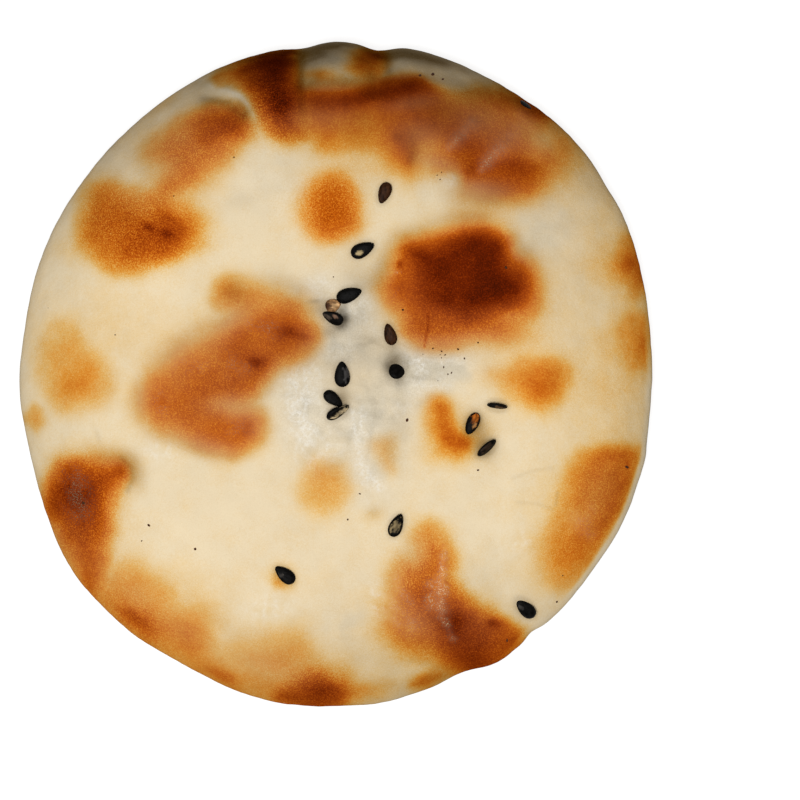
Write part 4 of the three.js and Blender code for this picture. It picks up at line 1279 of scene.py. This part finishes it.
def build_seeds():
    points, faces, colours = [], [], []
    for number, seed in enumerate(SEEDS):
        place = {key: value for key, value in seed.items() if key not in ("hull", "wear_and_sheen", "taper")}
        turned, middle = seed_place(**place)
        shape, shape_faces = seed_points(seed.get("taper", SEED_TIP_TAPER))
        first = number * len(shape)
        points.append(shape @ turned.T + middle)
        faces += [tuple(first + corner for corner in face) for face in shape_faces]
        colours.append(seed_colours(shape, seed.get("hull", BLACK_HULL), seed.get("wear_and_sheen", []), number))
    seeds = new_mesh("seeds", np.concatenate(points), faces)
    layer = seeds.data.color_attributes.new("hull", "FLOAT_COLOR", "POINT")
    layer.data.foreach_set("color", np.concatenate(colours).astype(np.float32).ravel())
    seeds.data.materials.append(sesame_material())
    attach(seeds, "root")


def fleck_material():
    material, _, shade = new_material("fleck")
    shade({
        "Base Color": linear(FLECK_COLOUR),
        "Roughness": FLECK_ROUGHNESS,
        "Specular IOR Level": FLECK_SHINE,
    })
    return material


def build_flecks():
    """Low round crumbs, a little uneven, half sunk in the crust."""
    random = np.random.default_rng(FLECK_DRAW)
    around = 2 * np.pi * np.arange(FLECK_SIDES) / FLECK_SIDES
    points, faces = [], []
    for x, y, half_width in FLECKS:
        half = FLECK_SCALE * half_width
        lean = random.uniform(*FLECK_LEAN)
        turn = random.uniform(0, np.pi)
        u, v = lean * np.cos(around), np.sin(around) / lean
        faces += skin(ring_numbers([1] + [FLECK_SIDES] * FLECK_RINGS, sum(map(len, points))))
        points.append(np.array([[x, y, top_height(x, y) + half / 2]]))
        for k in range(1, FLECK_RINGS + 1):
            angle = k / FLECK_RINGS * np.pi / 2
            ring_x = x + half * np.sin(angle) * (u * np.cos(turn) - v * np.sin(turn))
            ring_y = y + half * np.sin(angle) * (u * np.sin(turn) + v * np.cos(turn))
            ring_z = top_height(ring_x, ring_y) + half * (np.cos(angle) - 0.5)
            points.append(np.stack([ring_x, ring_y, ring_z], 1))
    flecks = new_mesh("flecks", np.concatenate(points), faces)
    flecks.data.materials.append(fleck_material())
    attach(flecks, "root")


def floor_material():
    """White that glows a little, so the shadow on it stays faint. From below it is clear, so that the
    underside shows."""
    material, add, shade = new_material("floor")
    shade({
        "Base Color": FLOOR_COLOUR,
        "Roughness": FLOOR_ROUGHNESS,
        "Emission Color": WHITE,
        "Emission Strength": FLOOR_GLOW,
    })
    nodes = material.node_tree.nodes
    from_below = add("ShaderNodeNewGeometry").outputs["Backfacing"]
    white = nodes["Principled BSDF"].outputs["BSDF"]
    clear = add("ShaderNodeBsdfTransparent").outputs["BSDF"]
    sheet = add("ShaderNodeMixShader", {0: from_below, 1: white, 2: clear}).outputs["Shader"]
    set_inputs(material.node_tree, nodes["Material Output"], {"Surface": sheet})
    return material


def build_floor():
    """A sheet that throws no light back up."""
    size, low = FLOOR_SIZE / 2, -FLOOR_GAP
    corners = np.array([(-size, -size, low), (size, -size, low), (size, size, low), (-size, size, low)])
    floor = new_mesh("floor", corners, [(0, 1, 2, 3)])
    floor.data.materials.append(floor_material())
    floor.visible_diffuse = False


def build_light():
    world = bpy.data.worlds.new("studio")
    world.use_nodes = True
    tree = world.node_tree
    set_inputs(tree, tree.nodes["Background"], {"Color": FILL_COLOUR, "Strength": FILL_STRENGTH})
    bpy.context.scene.world = world
    lamp = bpy.data.lights.new("key", "AREA")
    lamp.shape = "DISK"
    lamp.size = KEY_SIZE
    lamp.energy = KEY_POWER
    key = bpy.data.objects.new("key", lamp)
    key.location = Vector(KEY_DIRECTION).normalized() * KEY_DISTANCE
    key.rotation_euler = (-key.location).to_track_quat("-Z", "Y").to_euler()
    bpy.context.scene.collection.objects.link(key)


def build_camera():
    lens = bpy.data.cameras.new("camera")
    lens.lens = LENS
    lens.sensor_width = SENSOR
    camera = bpy.data.objects.new("camera", lens)
    height = SHARP_HEIGHT + FRAME_WIDTH * LENS / SENSOR
    camera.location = Vector((*FRAME_MIDDLE, height)) * MM
    bpy.context.scene.collection.objects.link(camera)
    bpy.context.scene.camera = camera
    bpy.context.scene.view_settings.view_transform = "Standard"


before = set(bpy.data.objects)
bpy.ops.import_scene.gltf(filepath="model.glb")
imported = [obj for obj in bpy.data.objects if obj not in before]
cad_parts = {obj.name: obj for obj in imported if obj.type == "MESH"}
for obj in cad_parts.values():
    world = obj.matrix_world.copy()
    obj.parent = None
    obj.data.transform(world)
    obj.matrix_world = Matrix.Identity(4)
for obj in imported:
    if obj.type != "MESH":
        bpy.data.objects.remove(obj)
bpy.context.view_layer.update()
build_crust()
build_seeds()
build_flecks()
build_floor()
build_light()
build_camera()
